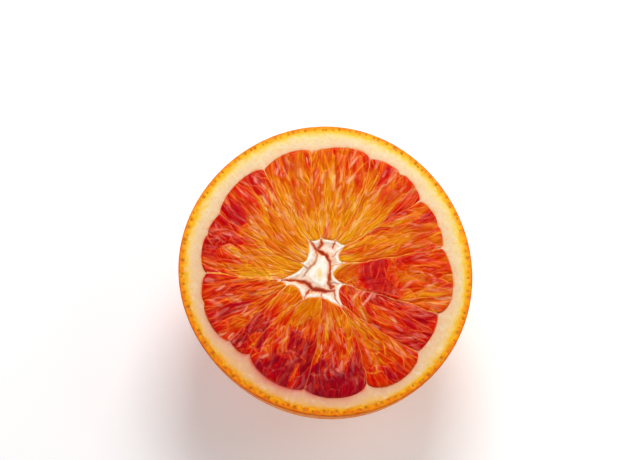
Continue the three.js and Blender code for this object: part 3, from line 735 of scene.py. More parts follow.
class Segment:
    # The cut face of one segment, a grid of places across (0 to 1 between its membranes) and along
    # (0 to 1 from core to wall). Sac coordinates are in millimetres: p across, fanning less than
    # the membranes do, and q along.
    def __init__(self, number):
        self.row = segments[number]
        self.rng = np.random.default_rng(100 + number)
        self.own = 31.0 * number  # moves the noise, so that no two segments are alike
        self.crossReach, self.crossTurn = crosswise.get(number, (0, 0))
        rowCrowding, columnCrowding = pulp["crowding"]
        self.steps = crowded(np.linspace(0, 1, pulp["rows"] + 1), rowCrowding)
        across = crowded(np.linspace(0, 1, pulp["columns"] + 1), columnCrowding)
        apart = membranePoint(self.row, self.steps) - membranePoint(self.row["before"], self.steps)
        self.span = np.hypot(*apart.T)
        self.run = chordLength(self.row)
        inset = (pulp["membraneHalf"] / np.maximum(self.span, pulp["leastSpan"]))[:, None]
        self.across = inset + (1 - 2 * inset) * across[None, :]
        self.along = np.repeat(self.steps[:, None], len(across), 1)
        self.flat = segmentPoint(self.row, self.across, self.along).reshape(-1, 2)
        herePower, widestPower = pulp["fan"]
        self.halfSpan = 0.5 * self.span ** herePower * self.span.max() ** widestPower
        self.samples = np.interp(np.linspace(0, 1, pulp["samples"]), self.steps, self.halfSpan)
        self.p = (2 * self.across - 1) * self.halfSpan[:, None]
        self.q = self.along * self.run

    def halfAt(self, q):
        # Half the segment's width in sac coordinates, straight between its samples.
        return np.interp(q, np.linspace(0, self.run, len(self.samples)), self.samples)

    def flatPlace(self, places):
        # From sac coordinates to the cut face.
        along = places[:, 1] / self.run
        across = 0.5 + 0.5 * places[:, 0] / np.interp(along, self.steps, self.halfSpan)
        return segmentPoint(self.row, np.clip(across, 0, 1), along)

    def disorder(self, places):
        # 1, and more by a bell in each crumbled place.
        return 1 + pulp["disorder"] * bells(self.flatPlace(places), crumblyPlaces)

    def shortness(self, places):
        # 1 where the sacs are cut across, 0 elsewhere.
        return bells(self.flatPlace(places), shortPlaces)

    def leanAt(self, p, q):
        # Lean of the sacs in radians: a slow swirl, plus the turn of the inner sacs that lie crosswise.
        most, wide, long, seed = pulp["swirl"]
        swirl = most * noise(p / wide + self.own, q / long, seed)
        soft = pulp["crossSoft"]
        inner = smooth(self.crossReach + soft, self.crossReach - soft, q / self.run)
        return swirl + math.radians(self.crossTurn) * inner

    def scatteredLines(self, share, halfLong, halfWide, lean):
        # Rows for lineField, spread at random over the segment; the lean comes from a bell curve
        # that is wider where the pulp is crumbled.
        rng = self.rng
        count = int(share * 2 * self.samples.mean() * self.run)
        q = rng.random(count) * self.run
        p = rng.uniform(-1, 1, count) * self.halfAt(q)
        turn = np.radians(rng.normal(0, lean, count)) * self.disorder(np.stack([p, q], -1))
        half = halfLong * rng.uniform(*lineRange["lengths"], count)
        wide = halfWide * rng.uniform(*lineRange["widths"], count)
        bend = rng.normal(0, lineRange["bend"], count) * half
        strength = rng.uniform(*lineRange["strengths"], count)
        return np.stack([p, q, turn - self.leanAt(p, q), half, wide, bend, strength], -1)

    def findSeeds(self):
        # Middles of the sacs, spread evenly: each is the loneliest of a few random places.
        size = np.array([pulp["sacWidth"], pulp["sacLength"]])
        probe = self.rng.random((pulp["probes"], 2)) * [2, self.run] - [1, 0]
        probe[:, 0] *= self.halfAt(probe[:, 1])
        crowd = (1 / (1 - pulp["shorten"] * self.shortness(probe))).mean()
        count = int(2 * self.samples.mean() * self.run / size.prod() * pulp["density"] * crowd)
        chosen = []
        for _ in range(count):
            tries = self.rng.random((pulp["tries"], 2))
            q = tries[:, 1] * self.run * pulp["beyond"]
            places = np.stack([(2 * tries[:, 0] - 1) * self.halfAt(q), q], -1)
            best = 0
            if chosen:
                scale = np.where(q[:, None, None] < self.crossReach * self.run, size[::-1], size)
                shorter = np.array([0, pulp["shorten"]]) * self.shortness(places)[:, None, None]
                gaps = (places[:, None] - np.array(chosen)[None]) / (scale * (1 - shorter))
                best = np.argmax((gaps ** 2).sum(-1).min(-1))
            chosen.append(places[best])
        return np.array(chosen)

    def laySacs(self):
        # Every sac has a middle, a width, a length and a lean, and a random level, slope and tone.
        # The tone is drawn away from the bell-weighted mean of its neighbours' tones.
        rng = self.rng
        self.seeds = seeds = self.findSeeds()
        nearWall = smooth(*pulp["wallZone"], seeds[:, 1] / self.run)
        width = pulp["sacWidth"] * (1 - nearWall) + pulp["endWidth"] * nearWall
        length = pulp["sacLength"] * (1 - nearWall) + pulp["endLength"] * nearWall
        self.width = width * rng.uniform(*pulp["widths"], len(seeds))
        length = length * rng.uniform(*pulp["lengths"], len(seeds))
        self.length = length * (1 - pulp["shorten"] * self.shortness(seeds))
        lean = np.radians(rng.normal(0, pulp["lean"], len(seeds))) * self.disorder(seeds)
        self.lean = lean + self.leanAt(*seeds.T)
        self.level, self.slope, tone = rng.normal(0, 1, (3, len(seeds)))
        reach = pulp["near"] * np.stack([self.width, self.length], -1)
        near = np.exp(-(((seeds[:, None] - seeds[None]) / reach) ** 2).sum(-1))
        tone = tone - pulp["apart"] * near @ tone / near.sum(1)
        self.tone = tone * (1 - pulp["calmTone"] * bells(self.flatPlace(seeds), calmPlaces))

    def matchSacs(self):
        # Finds the two nearest sacs of every point, with distances in each sac's own stretched,
        # leaning frame, and noise that makes the lines wavy. border is the way to the sac's edge.
        p, q, own = self.p, self.q, self.own
        wavyP = p
        for rise, long, wide, seed in pulp["waves"]:
            wavyP = wavyP + rise * noise(q / long + own, p / wide, seed)
        wavyQ = q + pulp["endWaves"][bool(self.crossReach)] * noise(p / 1.5 + own, q / 4, 13)
        self.wavyP, self.wavyQ = wavyP.ravel(), wavyQ.ravel()
        dp = self.wavyP[:, None] - self.seeds[:, 0]
        dq = self.wavyQ[:, None] - self.seeds[:, 1]
        side = dp * np.cos(self.lean) + dq * np.sin(self.lean)
        end = dq * np.cos(self.lean) - dp * np.sin(self.lean)
        bulb = np.clip(1 + pulp["bulb"] * end / self.length, *pulp["bulbRange"])
        far = np.hypot(side / (self.width * bulb), end / self.length)
        first, second = np.argsort(far, 1)[:, :2].T
        every = np.arange(len(far))
        self.first, self.second = first, second
        self.side, self.end = side[every, first], end[every, first]
        self.border = 0.5 * (far[every, second] - far[every, first]) * self.width[first]

    def colourPulp(self):
        # Half the pigment of the place and half that of its sac, which has its own tone; two sacs
        # meet in a mixed colour. Crumbled pulp gets flecks, and the deepest pigment is held back by
        # a hyperbolic tangent.
        own, scale = pulp["ownTone"]
        field = pigment(self.row, self.flat, self.along.ravel())
        seedField = pigment(self.row, self.flatPlace(self.seeds), self.seeds[:, 1] / self.run)
        sacField = seedField + (own + scale * np.clip(seedField, 0, 0.55)) * self.tone
        share = 0.5 + 0.5 * smooth(0, pulp["mixWidth"], self.border)
        redness = 0.5 * field + 0.5 * (share * sacField[self.first] + (1 - share) * sacField[self.second])
        outward = np.clip(self.end / self.length[self.first], -1, 1)
        redness += pulp["endTone"] * outward + pulp["streakTone"] * self.streak
        crumbly = atLeast(pulp["flecked"], bells(self.flat, crumblyPlaces))
        crumbly *= 0.2 + 0.75 * smooth(*pulp["fleckRed"], field)
        darker, paler = pulp["crumble"]
        redness += crumbly * (darker * self.line["darkFleck"] - paler * self.line["paleFleck"])
        turn = np.degrees(np.arctan2(self.flat[:, 0], self.flat[:, 1]))
        everywhere, oneSide = pulp["deepest"]
        spread = everywhere + oneSide * bell(turnGap(turn, pulp["deepTurn"]), pulp["deepSpread"])
        over = redness - pulp["deepStart"]
        self.redness = np.where(over > 0, pulp["deepStart"] + spread * np.tanh(over / spread), redness)

    def drawLines(self):
        # Strands, creases and glints are fewer in calm places, strands and glints also in the deepest
        # pigment, and glints gather in patches. The clear single lines come on top.
        p, q, line, redness = self.wavyP, self.wavyQ, self.line, self.redness
        self.calm = calm = 1 - pulp["calmed"] * bells(self.flat, calmPlaces)
        deeper = atLeast(pulp["creaseLeast"], smooth(*pulp["creaseRed"], redness))
        self.crease = line["crease"] * (calm * deeper)
        strand = np.maximum(line["strand"], pulp["broadShare"] * line["broad"])
        strand = strand * calm * (1 - pulp["strandLoss"] * smooth(*pulp["strandRed"], redness))
        self.strand = np.maximum(strand, lineField(*self.flat.T, placedLines(clearStrands)))
        # Glints, with their bars and haze, are partly pale sacs and partly painted highlights of the wet
        # pulp.
        patch = smooth(*pulp["patchStep"], cloud(self.flat, *pulp["glintClouds"]))
        patch = np.maximum(patch, bells(self.flat, glintPlaces))
        glintBar = smooth(*pulp["patchStep"], line["glintBar"]) * patchy(pulp["glintBarPatches"], self.streak)
        haze = smooth(*pulp["glintVeilStep"], noise(p / 0.8 + self.own, q / 1.5, 23))
        glintVeil = pulp["glintVeil"] * patch * haze
        glint = np.maximum(line["glint"], glintVeil) * patch
        glint = np.maximum(glint, pulp["glintBarShare"] * (glintBar * atLeast(0.5, patch)))
        glint = glint * (1 - pulp["glintLoss"] * smooth(*pulp["glintRed"], redness)) * calm
        glint = np.maximum(glint, lineField(*self.flat.T, placedLines(clearGlints)))
        self.glint = glint * patchy(pulp["glintPatches"], noise(q / 1.1 + self.own, p / 0.7, 21))

    def heights(self):
        # Each sac is a quarter-round dome with its own level and slope; strands and glints stand out
        # of it and creases are sunk. All of it is lowest at the rounded border of the segment.
        width = self.width[self.first]
        inward = np.min(self.gaps, 0)
        pillow = 1 - (1 - np.clip(inward / pulp["shoulder"], 0, 1)) ** 2
        dome = np.sqrt(np.clip(1 - (1 - np.clip(self.border / (0.5 * width), 0, 1)) ** 2, 0, 1))
        relief = pulp["plump"] * width * (dome - pulp["domeMiddle"]) + (
            pulp["step"] * self.level[self.first] + pulp["tilt"] * self.slope[self.first] * self.side / width)
        relief += (pulp["streakHeight"] * self.streak + pulp["strandHeight"] * self.strand
                   - pulp["creaseDepth"] * self.crease + pulp["glintHeight"] * self.glint)
        height = fruit["cutLevel"] + pulp["border"] + (pulp["rise"] - pulp["border"]) * pillow
        return height + np.clip(relief, *pulp["relief"]) * atLeast(pulp["borderRelief"], pillow)

    def shades(self):
        # Shade lies on one flank of a sac, in the creases, on low sacs and along the wall.
        fromBorder, wide, soft = pulp["flank"]
        flank = bell(self.border - fromBorder, wide) * smooth(soft, -soft, self.side)
        flank *= atLeast(pulp["flankLeast"], smooth(*pulp["flankAlong"], self.along.ravel()))
        shade = np.maximum(pulp["flankShade"] * flank * self.bold, pulp["creaseShade"] * self.crease)
        shade = shade + pulp["wallShade"] * bell(self.gaps[2], pulp["wallShadeWidth"])
        shade += pulp["lowShade"] * smooth(*pulp["lowLevels"], -self.level[self.first])
        return np.clip(shade * (1 - self.strand), 0, 1)

    def paleLines(self):
        # Strands, the walls between sacs, and a broken pale border round the segment, each border
        # and wall a bell across its width.
        skirt = np.max([strength * bell(gap, wide) for gap, (strength, wide)
                        in zip(self.gaps, pulp["skirt"])], 0)
        skirt *= patchy(pulp["skirtPatches"], noise(self.wavyQ / 1.1 + self.own, self.wavyP / 2.0, 24))
        least, more = pulp["sacWall"]
        between = self.bold * bell(self.border, least + more * self.bold)
        between = between * atLeast(pulp["sacWallLeast"], self.calm)
        lines = np.maximum(pulp["wallShare"] * between, pulp["strandShare"] * self.strand)
        return np.clip(np.maximum(lines, skirt), 0, 1)

    def surface(self):
        # Points, shader values and map of the cut face. streak is noise along each sac, bold is how
        # clear its border is from place to place.
        self.laySacs()
        self.matchSacs()
        first = self.first
        self.streak = noise(self.side / 0.3 + first * 7.3, self.end / 3.6, 5)
        uneven = noise(self.end / 2.2 + first * 3.1, self.second * 1.7, 9)
        self.bold = patchy(pulp["boldPatches"], uneven)
        self.line = {kind: lineField(self.wavyP, self.wavyQ, self.scatteredLines(*sizes))
                     for kind, sizes in fineLines.items()}
        sideGap = np.minimum(self.across, 1 - self.across) * self.span[:, None]
        self.gaps = [gap.ravel() for gap in (sideGap, self.along * self.run, (1 - self.along) * self.run)]
        self.colourPulp()
        self.drawLines()
        values = {"redness": self.redness, "strand": self.paleLines(), "shade": self.shades(),
                  "glint": np.clip(pulp["glintShare"] * self.glint, 0, 1)}
        return lifted(self.flat, self.heights()), values, np.stack([self.wavyP + self.own, self.wavyQ], -1)


def makeSegment(number, material):
    # The sac surface on top; below it the outline shrinks down the cavity to a point.
    points, values, grain = Segment(number).surface()
    rowCount, columnCount = pulp["rows"] + 1, pulp["columns"] + 1
    index = np.arange(len(points)).reshape(rowCount, columnCount)
    top = np.stack([index[:-1, :-1], index[:-1, 1:], index[1:, 1:], index[1:, :-1]], -1).reshape(-1, 4)
    border = np.concatenate([index[0, :-1], index[:-1, -1], index[-1, :0:-1], index[:0:-1, 0]])
    edge = points[border, :2]
    middle = edge.mean(0)
    edge = middle + (edge - middle) * pulp["sideInset"]
    rings = [sunk(edge, angle) for angle in pulp["sideAngles"]]
    loops = [border] + [len(points) + k * len(border) + np.arange(len(border)) for k in range(len(rings))]
    points = np.concatenate([points] + rings + [sunk(middle[None], pulp["closing"])])
    below = np.full(len(points) - len(values["redness"]), pulp["belowRed"])
    values["redness"] = np.concatenate([values["redness"], below])
    faces = [top] + [np.stack([lower, np.roll(lower, -1), np.roll(upper, -1), upper], -1)
                     for upper, lower in zip(loops[:-1], loops[1:])]
    last = loops[-1]
    faces.append(np.stack([np.full(len(last), len(points) - 1), np.roll(last, -1), last], -1))
    name = f"segment_{number + 1:02d}"
    makePiece(name, points, faces, material, values, grain)


membrane = {
    "steps": 150, "ends": (-0.015, 1.02),  # 0 is the foot, 1 the notch
    "half": 0.12,  # half its thickness
    "notchHalf": 0.4, "notchLength": 1.0,  # white wedge of pith at its outer end
    "footHalf": 0.32, "footLength": 2.2,  # white arm of the core at its inner end
    "arms": {1: 3.2, 2: 4.5, 3: 4.8, 9: 4.0},  # the longer arms
    "level": 0.08, "boldLevel": 0.03,  # top above the cut, and more for a thicker one
    "crest": 0.08, "crestPlaces": (1, 0.6, 0, -0.6, -1),  # fall to its two edges, in these steps
    "uneven": (0.18, 1.1, 31),  # of its thickness: part, length, seed
    "bumpy": (0.04, 1.6, 33),  # of its top: height, length, seed
    "white": (0.85, 1.1),  # how much of the wedge and of the arm is pith
    "juice": (1.5, 0.45, 0.85),  # stain: this much of the pigment, less this, and at most this
    "sideAngles": (0.012, 0.05, 0.25, 0.55, 0.9, 1.25, 1.46),
    "bold": {9: 3.8, 3: 1.7, 8: 1.6, 0: 1.4, 11: 1.3},  # the thicker ones, and how much thicker
    "yellow": (9, 0, 11), "yellowTone": 0.15,  # the ones that little juice has stained
}


def makeMembrane(number, material):
    # A tall thin wall: a closed section carried from foot to notch, shrinking down the cavity. It is
    # thicker at both ends, by e to the minus distance.
    row = segments[number]
    along = np.linspace(*membrane["ends"], membrane["steps"])
    inside = np.clip(along, 0, 1)
    line = membranePoint(row, along)
    run = chordLength(row)
    tangent = np.gradient(line, axis=0)
    tangent /= np.hypot(tangent[:, 0], tangent[:, 1])[:, None]
    side = np.stack([tangent[:, 1], -tangent[:, 0]], -1)
    bold = membrane["bold"].get(number, 1.0)
    wedge = np.exp(-np.clip(1 - along, 0, 1) * run / membrane["notchLength"])
    arm = np.exp(-inside * run / membrane["arms"].get(number, membrane["footLength"]))
    half = membrane["half"] * bold + membrane["notchHalf"] * wedge ** 1.5 + membrane["footHalf"] * arm
    part, long, seed = membrane["uneven"]
    reach = side * (half * (1 + part * noise(along * run / long, number, seed)))[:, None]
    rise, long, seed = membrane["bumpy"]
    level = fruit["cutLevel"] + membrane["level"] + rise * noise(along * run / long, number, seed)
    level = level + membrane["boldLevel"] * bold
    columns = [sunk(line + reach, angle) for angle in membrane["sideAngles"][::-1]]
    for part in membrane["crestPlaces"]:
        columns.append(lifted(line + part * reach, level - membrane["crest"] * part ** 2))
    columns += [sunk(line - reach, angle) for angle in membrane["sideAngles"]]
    rings = np.stack(columns, 1)
    points, faces = closedRings(rings, rings[0].mean(0), rings[-1].mean(0))
    atNotch, atFoot = membrane["white"]
    white = np.clip(atNotch * wedge + atFoot * arm ** 1.4, 0, 1)
    share, less, most = membrane["juice"]
    tone = np.clip(share * pigment(row, line, inside) - less, 0, most) * (1 - arm)
    tone = tone * (membrane["yellowTone"] if number in membrane["yellow"] else 1.0)
    values = {"pith": np.concatenate([np.repeat(white, rings.shape[1]), [1.0, 1.0]]),
              "tone": np.repeat(tone, rings.shape[1])}
    makePiece(f"membrane_{number + 1:02d}", points, faces, material, values)


pith = {
    "columnTurn": 0.4,
    "topRings": 30, "crowding": 1.3,  # on the cut, and the power that draws them to the peel
    "closing": 1.53, "wallAngles": (1.5, 1.3, 1.05, 0.8, 0.5, 0.25, 0.1, 0.03, 0.008),
    "outerRings": 10, "outerSpan": (0.03, 0.97),  # inside the peel: 0 at its rim, 1 at its bottom
    "overlap": 0.05,  # under the cut peel
    "fullness": 0.94, "bottom": 2.2,  # the bowl inside the peel, and its lowest level
    "lip": 0.04, "lipWidth": 0.3,  # how far it falls next to the pulp
    "sponge": [(0.07, 1.6, 41, 4), (0.1, 6, 43, 2)],  # height, size, seed and layers of its clouds
    "rosyShadeTurn": 200, "rosyShadeSpread": 70, "rosyShadeMost": 0.75,  # where it is pinker and darker, a pink tint with painted shade, and how much
    "stainTurn": 202, "stainSpread": 34, "stainLeast": 0.1,  # where juice has stained it at the pulp
    "stainWidth": 0.8, "stainWander": (0.4, 2.5, 45),  # how much that varies: width, degrees, seed
}


def wallColumns():
    # Turn and inner border point of each pith column, closer together at the notches.
    turns, borders = [], []
    for row in segments:
        spread = row["notch"][0] - row["start"]
        count = round(spread / pith["columnTurn"])
        part = crowded(np.arange(count) / count, 0.5)
        turns.append(row["start"] + spread * part)
        borders.append(wallPoint(row, part))
    return np.concatenate(turns), np.concatenate(borders)


def makePith(material):
    # A bowl: up the cavity wall, across the cut to the peel, and down inside the peel.
    turns, border = wallColumns()
    rim = polar(turns, rimRadius(turns) - edgeWidth(turns) + pith["overlap"])
    width = np.hypot(*(rim - border).T)
    inner = [sunk(border, angle) for angle in pith["wallAngles"]]
    across = 1 - (1 - np.linspace(0, 1, pith["topRings"])) ** pith["crowding"]
    top = []
    for part in across:
        flat = mixed(border, rim, np.full(len(turns), part))
        height = fruit["cutLevel"] - pith["lip"] * np.exp(-part * width / pith["lipWidth"])
        for rise, *kind in pith["sponge"]:
            height = height + rise * cloud(flat, *kind)
        top.append(lifted(flat, height))
    outer = []
    for part in np.linspace(*pith["outerSpan"], pith["outerRings"]):
        angle = part * math.pi / 2
        flat = rim * math.cos(angle) ** pith["fullness"]
        outer.append(lifted(flat, fruit["cutLevel"] - (fruit["cutLevel"] - pith["bottom"]) * math.sin(angle)))
    rings = np.stack(inner + top + outer)
    bottomIn = sunk(np.array([fruit["coreCentre"]]), pith["closing"])[0]
    points, faces = closedRings(rings, bottomIn, [0, 0, pith["bottom"] - 0.1])
    inward = np.concatenate([np.ones(len(inner)), 1 - across, np.zeros(len(outer))])
    # Pink tint with painted shade, strongest on one side.
    rosyShade = pith["rosyShadeMost"] * bell(turnGap(turns, pith["rosyShadeTurn"]), pith["rosyShadeSpread"])
    most, wide, seed = pith["stainWander"]
    stainWidth = pith["stainWidth"] + most * noise(turns / wide, 7, seed)
    nearWall = np.exp(-across[:, None] * width / stainWidth)
    deep = atLeast(pith["stainLeast"], bell(turnGap(turns, pith["stainTurn"]), pith["stainSpread"]))
    values = {
        "inward": np.concatenate([np.repeat(inward, len(turns)), [1.0, 0.0]]),
        "stain": np.concatenate([np.ones((len(inner), 1)) * deep, nearWall * deep]),
        "rosyShade": np.concatenate([np.tile(rosyShade, len(rings)), [0.2, 0.2]]),
    }
    makePiece("pith", points, faces, material, values)


peelEdge = {
    "columns": 1800,
    "corner": 0.35, "depth": 1.2,  # radius of its round corner, and how far it goes down
    "cornerRings": 6, "cutRings": 15, "under": 0.03,  # how far its hidden edge lies inside
    "glandStep": 1.75,  # millimetres between oil glands
    "glandIn": 0.9,  # their distance from the skin
    "glandWide": 0.4, "glandTall": 0.46, "glandDepth": 0.12,
    "glandStray": 0.36, "glandShift": 0.3,  # part of a step along the rim, millimetres across it
    "glandSize": (0.55, 0.75), "glandTone": (0.45, 0.55),  # the least, and how much more at most
    "uneven": 0.06,  # height of the cut's small bumps
    "unevenSize": 1.2, "glandShare": 0.8,  # size of those bumps, and how dark the glands are
    "blotchTurn": 200, "blotchSpread": 75,  # where darker blotches and the browner painted shade are strongest
    "blotches": (0.15, 0.75),  # how strong they are all round, and how much more there
}


def glandField(turn, inward):
    # A flat-topped bell for each gland of a row that runs round the rim, with uneven steps and sizes.
    count = round(2 * math.pi * fruit["meanRadius"] / peelEdge["glandStep"])
    cell = turn / 360 * count
    best = np.zeros(np.broadcast(turn, inward).shape)
    for neighbour in (-1, 0, 1):
        index = (np.floor(cell) + neighbour) % count
        middle = np.floor(cell) + neighbour + 0.5 + peelEdge["glandStray"] * (2 * chance(index, 1.0, 51) - 1)
        away = (cell - middle) * peelEdge["glandStep"]
        deep = inward - peelEdge["glandIn"] - peelEdge["glandShift"] * (2 * chance(index, 2.0, 51) - 1)
        size = peelEdge["glandSize"][0] + peelEdge["glandSize"][1] * chance(index, 3.0, 51)
        strength = peelEdge["glandTone"][0] + peelEdge["glandTone"][1] * chance(index, 4.0, 51)
        spot = np.exp(-((away / (peelEdge["glandWide"] * size)) ** 2
                        + (deep / (peelEdge["glandTall"] * size)) ** 2) ** 1.5)
        best = np.maximum(best, spot * strength)
    return best


def makePeelEdge(material):
    # A flat hoop: its section runs over the round corner, across the cut and back underneath.
    turns = evenTurns(peelEdge["columns"])
    corner, depth = peelEdge["corner"], peelEdge["depth"]
    under = peelEdge["under"]
    section = [(under, 0, -depth)]  # millimetres from the skin, part of the band's width, height
    section += [(corner * (1 - math.cos(angle)), 0, corner * (math.sin(angle) - 1))
                for angle in np.linspace(0, math.pi / 2, peelEdge["cornerRings"])]
    section += [(corner, part, 0.0) for part in np.linspace(0, 1, peelEdge["cutRings"])[1:]]
    section += [(corner, 1 + under, -depth)]
    fixed, part, drop = [column[:, None] for column in np.array(section).T]
    inward = fixed + part * (edgeWidth(turns)[None, :] - corner)
    spots = glandField(turns[None, :], inward) * (drop == 0)
    flat = polar(turns[None, :], rimRadius(turns)[None, :] - inward)
    uneven = peelEdge["uneven"] * cloud(flat, peelEdge["unevenSize"], 61) * (drop == 0)
    rings = lifted(flat, fruit["cutLevel"] + drop + uneven - peelEdge["glandDepth"] * spots)
    # This strength sets the darker blotches and also the browner painted shade.
    least, more = peelEdge["blotches"]
    blotch = least + more * bell(turnGap(turns, peelEdge["blotchTurn"]), peelEdge["blotchSpread"])
    values = {"inward": np.clip(inward / edgeWidth(turns)[None, :], 0, 1),
              "gland": peelEdge["glandShare"] * spots, "blotch": np.tile(blotch, len(section))}
    faces = [ringFaces(len(section), len(turns), loop=True)]
    makePiece("cut_peel", rings, faces, material, values)


peel = {
    "columns": 700, "rings": 112,
    "seatRings": 7, "scarRings": 13,
    "fullness": 0.94,  # 1 is an ellipse, less is fuller
    "seatRadius": 7.0, "scarRadius": 4.6, "scarDepth": 1.0,
    "scarWall": (0.72, 1.0),  # where the scar rises to the seat, as parts of its radius
    "swell": 0.3, "swellCount": 3, "swellTwist": 5,  # low swellings that lean round the fruit
    "furrowDepth": 0.25, "furrowCount": 9,
    "lining": [(1.0, 1.5), (0.985, 4.0), (0.5, 7.0)],  # inside: part of the rim's reach, and depth
    "dimpleStep": 1.75, "dimpleSize": 0.45, "dimpleDepth": 0.16,
    "dimpleStart": (7.5, 10),  # from the middle of the scar, along the skin
    "dimpleStray": 0.8,  # width of the room in which a dimple strays, in steps
    "blushTurn": 300, "blushSide": (-0.55, 0.95),  # its side, and its border as a cosine
    "blushDrift": 0.7, "blushLevels": (-2, 24),  # how far that border strays; it rises in here
    "paleBlush": 0.12, "paleLevels": (4, 30),  # all round
    "rimShade": 0.12, "rimDepths": (3.5, 0.5),  # painted shade under the cut
}


def dimpleField(turn, arc, reach, arcReach):
    # Distance to the nearest of many scattered dimples: one to a cell, on rows round the fruit.
    step = peel["dimpleStep"]
    row = np.floor(arc / step)
    nearest = np.full(turn.shape, 99.0)
    for up in (-1, 0, 1):
        here = row + up
        cells = np.maximum(np.round(2 * np.pi * arcReach((here + 0.5) * step) / step), 3)
        cell = turn / 360 * cells
        for beside in (-1, 0, 1):
            index = np.floor(cell) + beside
            moveX = peel["dimpleStray"] * (chance(index % cells, here, 71) - 0.5)
            moveY = peel["dimpleStray"] * (chance(index % cells, here, 72) - 0.5)
            awayX = (cell - index - 0.5 - moveX) / cells * 2 * np.pi * reach
            awayY = arc - (here + 0.5 + moveY) * step
            nearest = np.minimum(nearest, np.hypot(awayX, awayY))
    return nearest


def skinShape(turns, cut):
    # Reach and height of the skin, from the scar out to the rim: a fuller ellipse, its reach the
    # radius times a power of the sine of the lift, its height by the cosine, over a small flat
    # seat with a sunken scar.
    seatLift = math.asin((peel["seatRadius"] / fruit["meanRadius"]) ** (1 / peel["fullness"]))
    depth = fruit["cutLevel"] / math.cos(seatLift)
    angle = np.radians(turns)[None, :]
    climb = np.linspace(0, 1, peel["rings"])[:, None]
    lift = seatLift + (math.pi / 2 - seatLift) * climb
    radius = fruit["meanRadius"] + (rimRadius(turns)[None, :] - fruit["meanRadius"]) * climb ** 0.5
    reach = radius * np.sin(lift) ** peel["fullness"]
    swelling = np.sin(peel["swellCount"] * angle + peel["swellTwist"] * climb) * np.sin(np.pi * climb)
    reach = reach + peel["swell"] * swelling
    furrow = np.cos(peel["furrowCount"] * angle) * np.sin(np.pi * np.clip(climb * 3, 0, 1))
    reach = reach + peel["furrowDepth"] * furrow
    level = cut - (depth - peelEdge["corner"]) * np.cos(lift) + 0 * reach
    wide = np.ones((1, len(turns)))
    seatReach = np.linspace(peel["scarRadius"], peel["seatRadius"], peel["seatRings"] + 1)[:-1, None] * wide
    scarPart = np.linspace(0.08, 1, peel["scarRings"] + 1)[:-1, None] * wide
    scarLevel = peel["scarDepth"] * (1 - smooth(*peel["scarWall"], scarPart))
    return (np.concatenate([peel["scarRadius"] * scarPart, seatReach, reach]),
            np.concatenate([scarLevel, 0 * seatReach, level]))


def makePeel(material):
    # The skin with its dimples, sunk along its own normal, and a shallow bowl, hidden under the cut,
    # that closes the piece.
    cut = fruit["cutLevel"] - peelEdge["corner"]
    turns = evenTurns(peel["columns"])
    reach, level = skinShape(turns, cut)
    turnGrid = np.repeat(turns[None, :], len(reach), 0)
    meanReach, meanLevel = reach.mean(1), level.mean(1)
    arc = np.concatenate([[0], np.cumsum(np.hypot(np.diff(meanReach), np.diff(meanLevel)))])
    arcGrid = np.repeat(arc[:, None], len(turns), 1)
    nearest = dimpleField(turnGrid, arcGrid, reach, lambda distance: np.interp(distance, arc, meanReach))
    onSkin = smooth(*peel["dimpleStart"], arcGrid) * smooth(arc[-1] + 0.2, arc[-1] - 0.8, arcGrid)
    dimple = bell(nearest, peel["dimpleSize"])
    sink = peel["dimpleDepth"] * dimple * onSkin
    slopeReach, slopeLevel = np.gradient(meanReach), np.gradient(meanLevel)
    steep = np.hypot(slopeReach, slopeLevel)
    outer = lifted(polar(turnGrid, reach - sink * (slopeLevel / steep)[:, None]),
                   level + sink * (slopeReach / steep)[:, None])
    rim = rimRadius(turns) - edgeWidth(turns)
    lining = np.stack([lifted(polar(turns, rim * part), cut - down) for part, down in peel["lining"]])
    points, faces = closedRings(np.concatenate([outer, lining]), [0, 0, peel["scarDepth"]],
                                [0, 0, cut - peel["lining"][-1][1]])

    # The blush is strongest on one side, with a cloudy border, and a little painted shade darkens the skin at
    # the rim.
    side = np.cos(np.radians(turnGrid - peel["blushTurn"]))
    x, y, z = np.moveaxis(outer, -1, 0)
    drift = cloud(np.stack([x / 14 + z / 17, y / 14 - z / 23], -1), 1, 75, 3)
    blushAndRimShade = smooth(*peel["blushSide"], side + peel["blushDrift"] * drift)
    blushAndRimShade = blushAndRimShade * smooth(*peel["blushLevels"], level)
    blushAndRimShade = blushAndRimShade + peel["paleBlush"] * smooth(*peel["paleLevels"], level)
    # Painted shade: the skin just under the cut is darkened.
    blushAndRimShade = blushAndRimShade + peel["rimShade"] * smooth(*peel["rimDepths"], cut - level)
    values = {"blushAndRimShade": np.clip(blushAndRimShade, 0, 1), "pore": dimple * onSkin}
    makePiece("peel", points, faces, material, values)


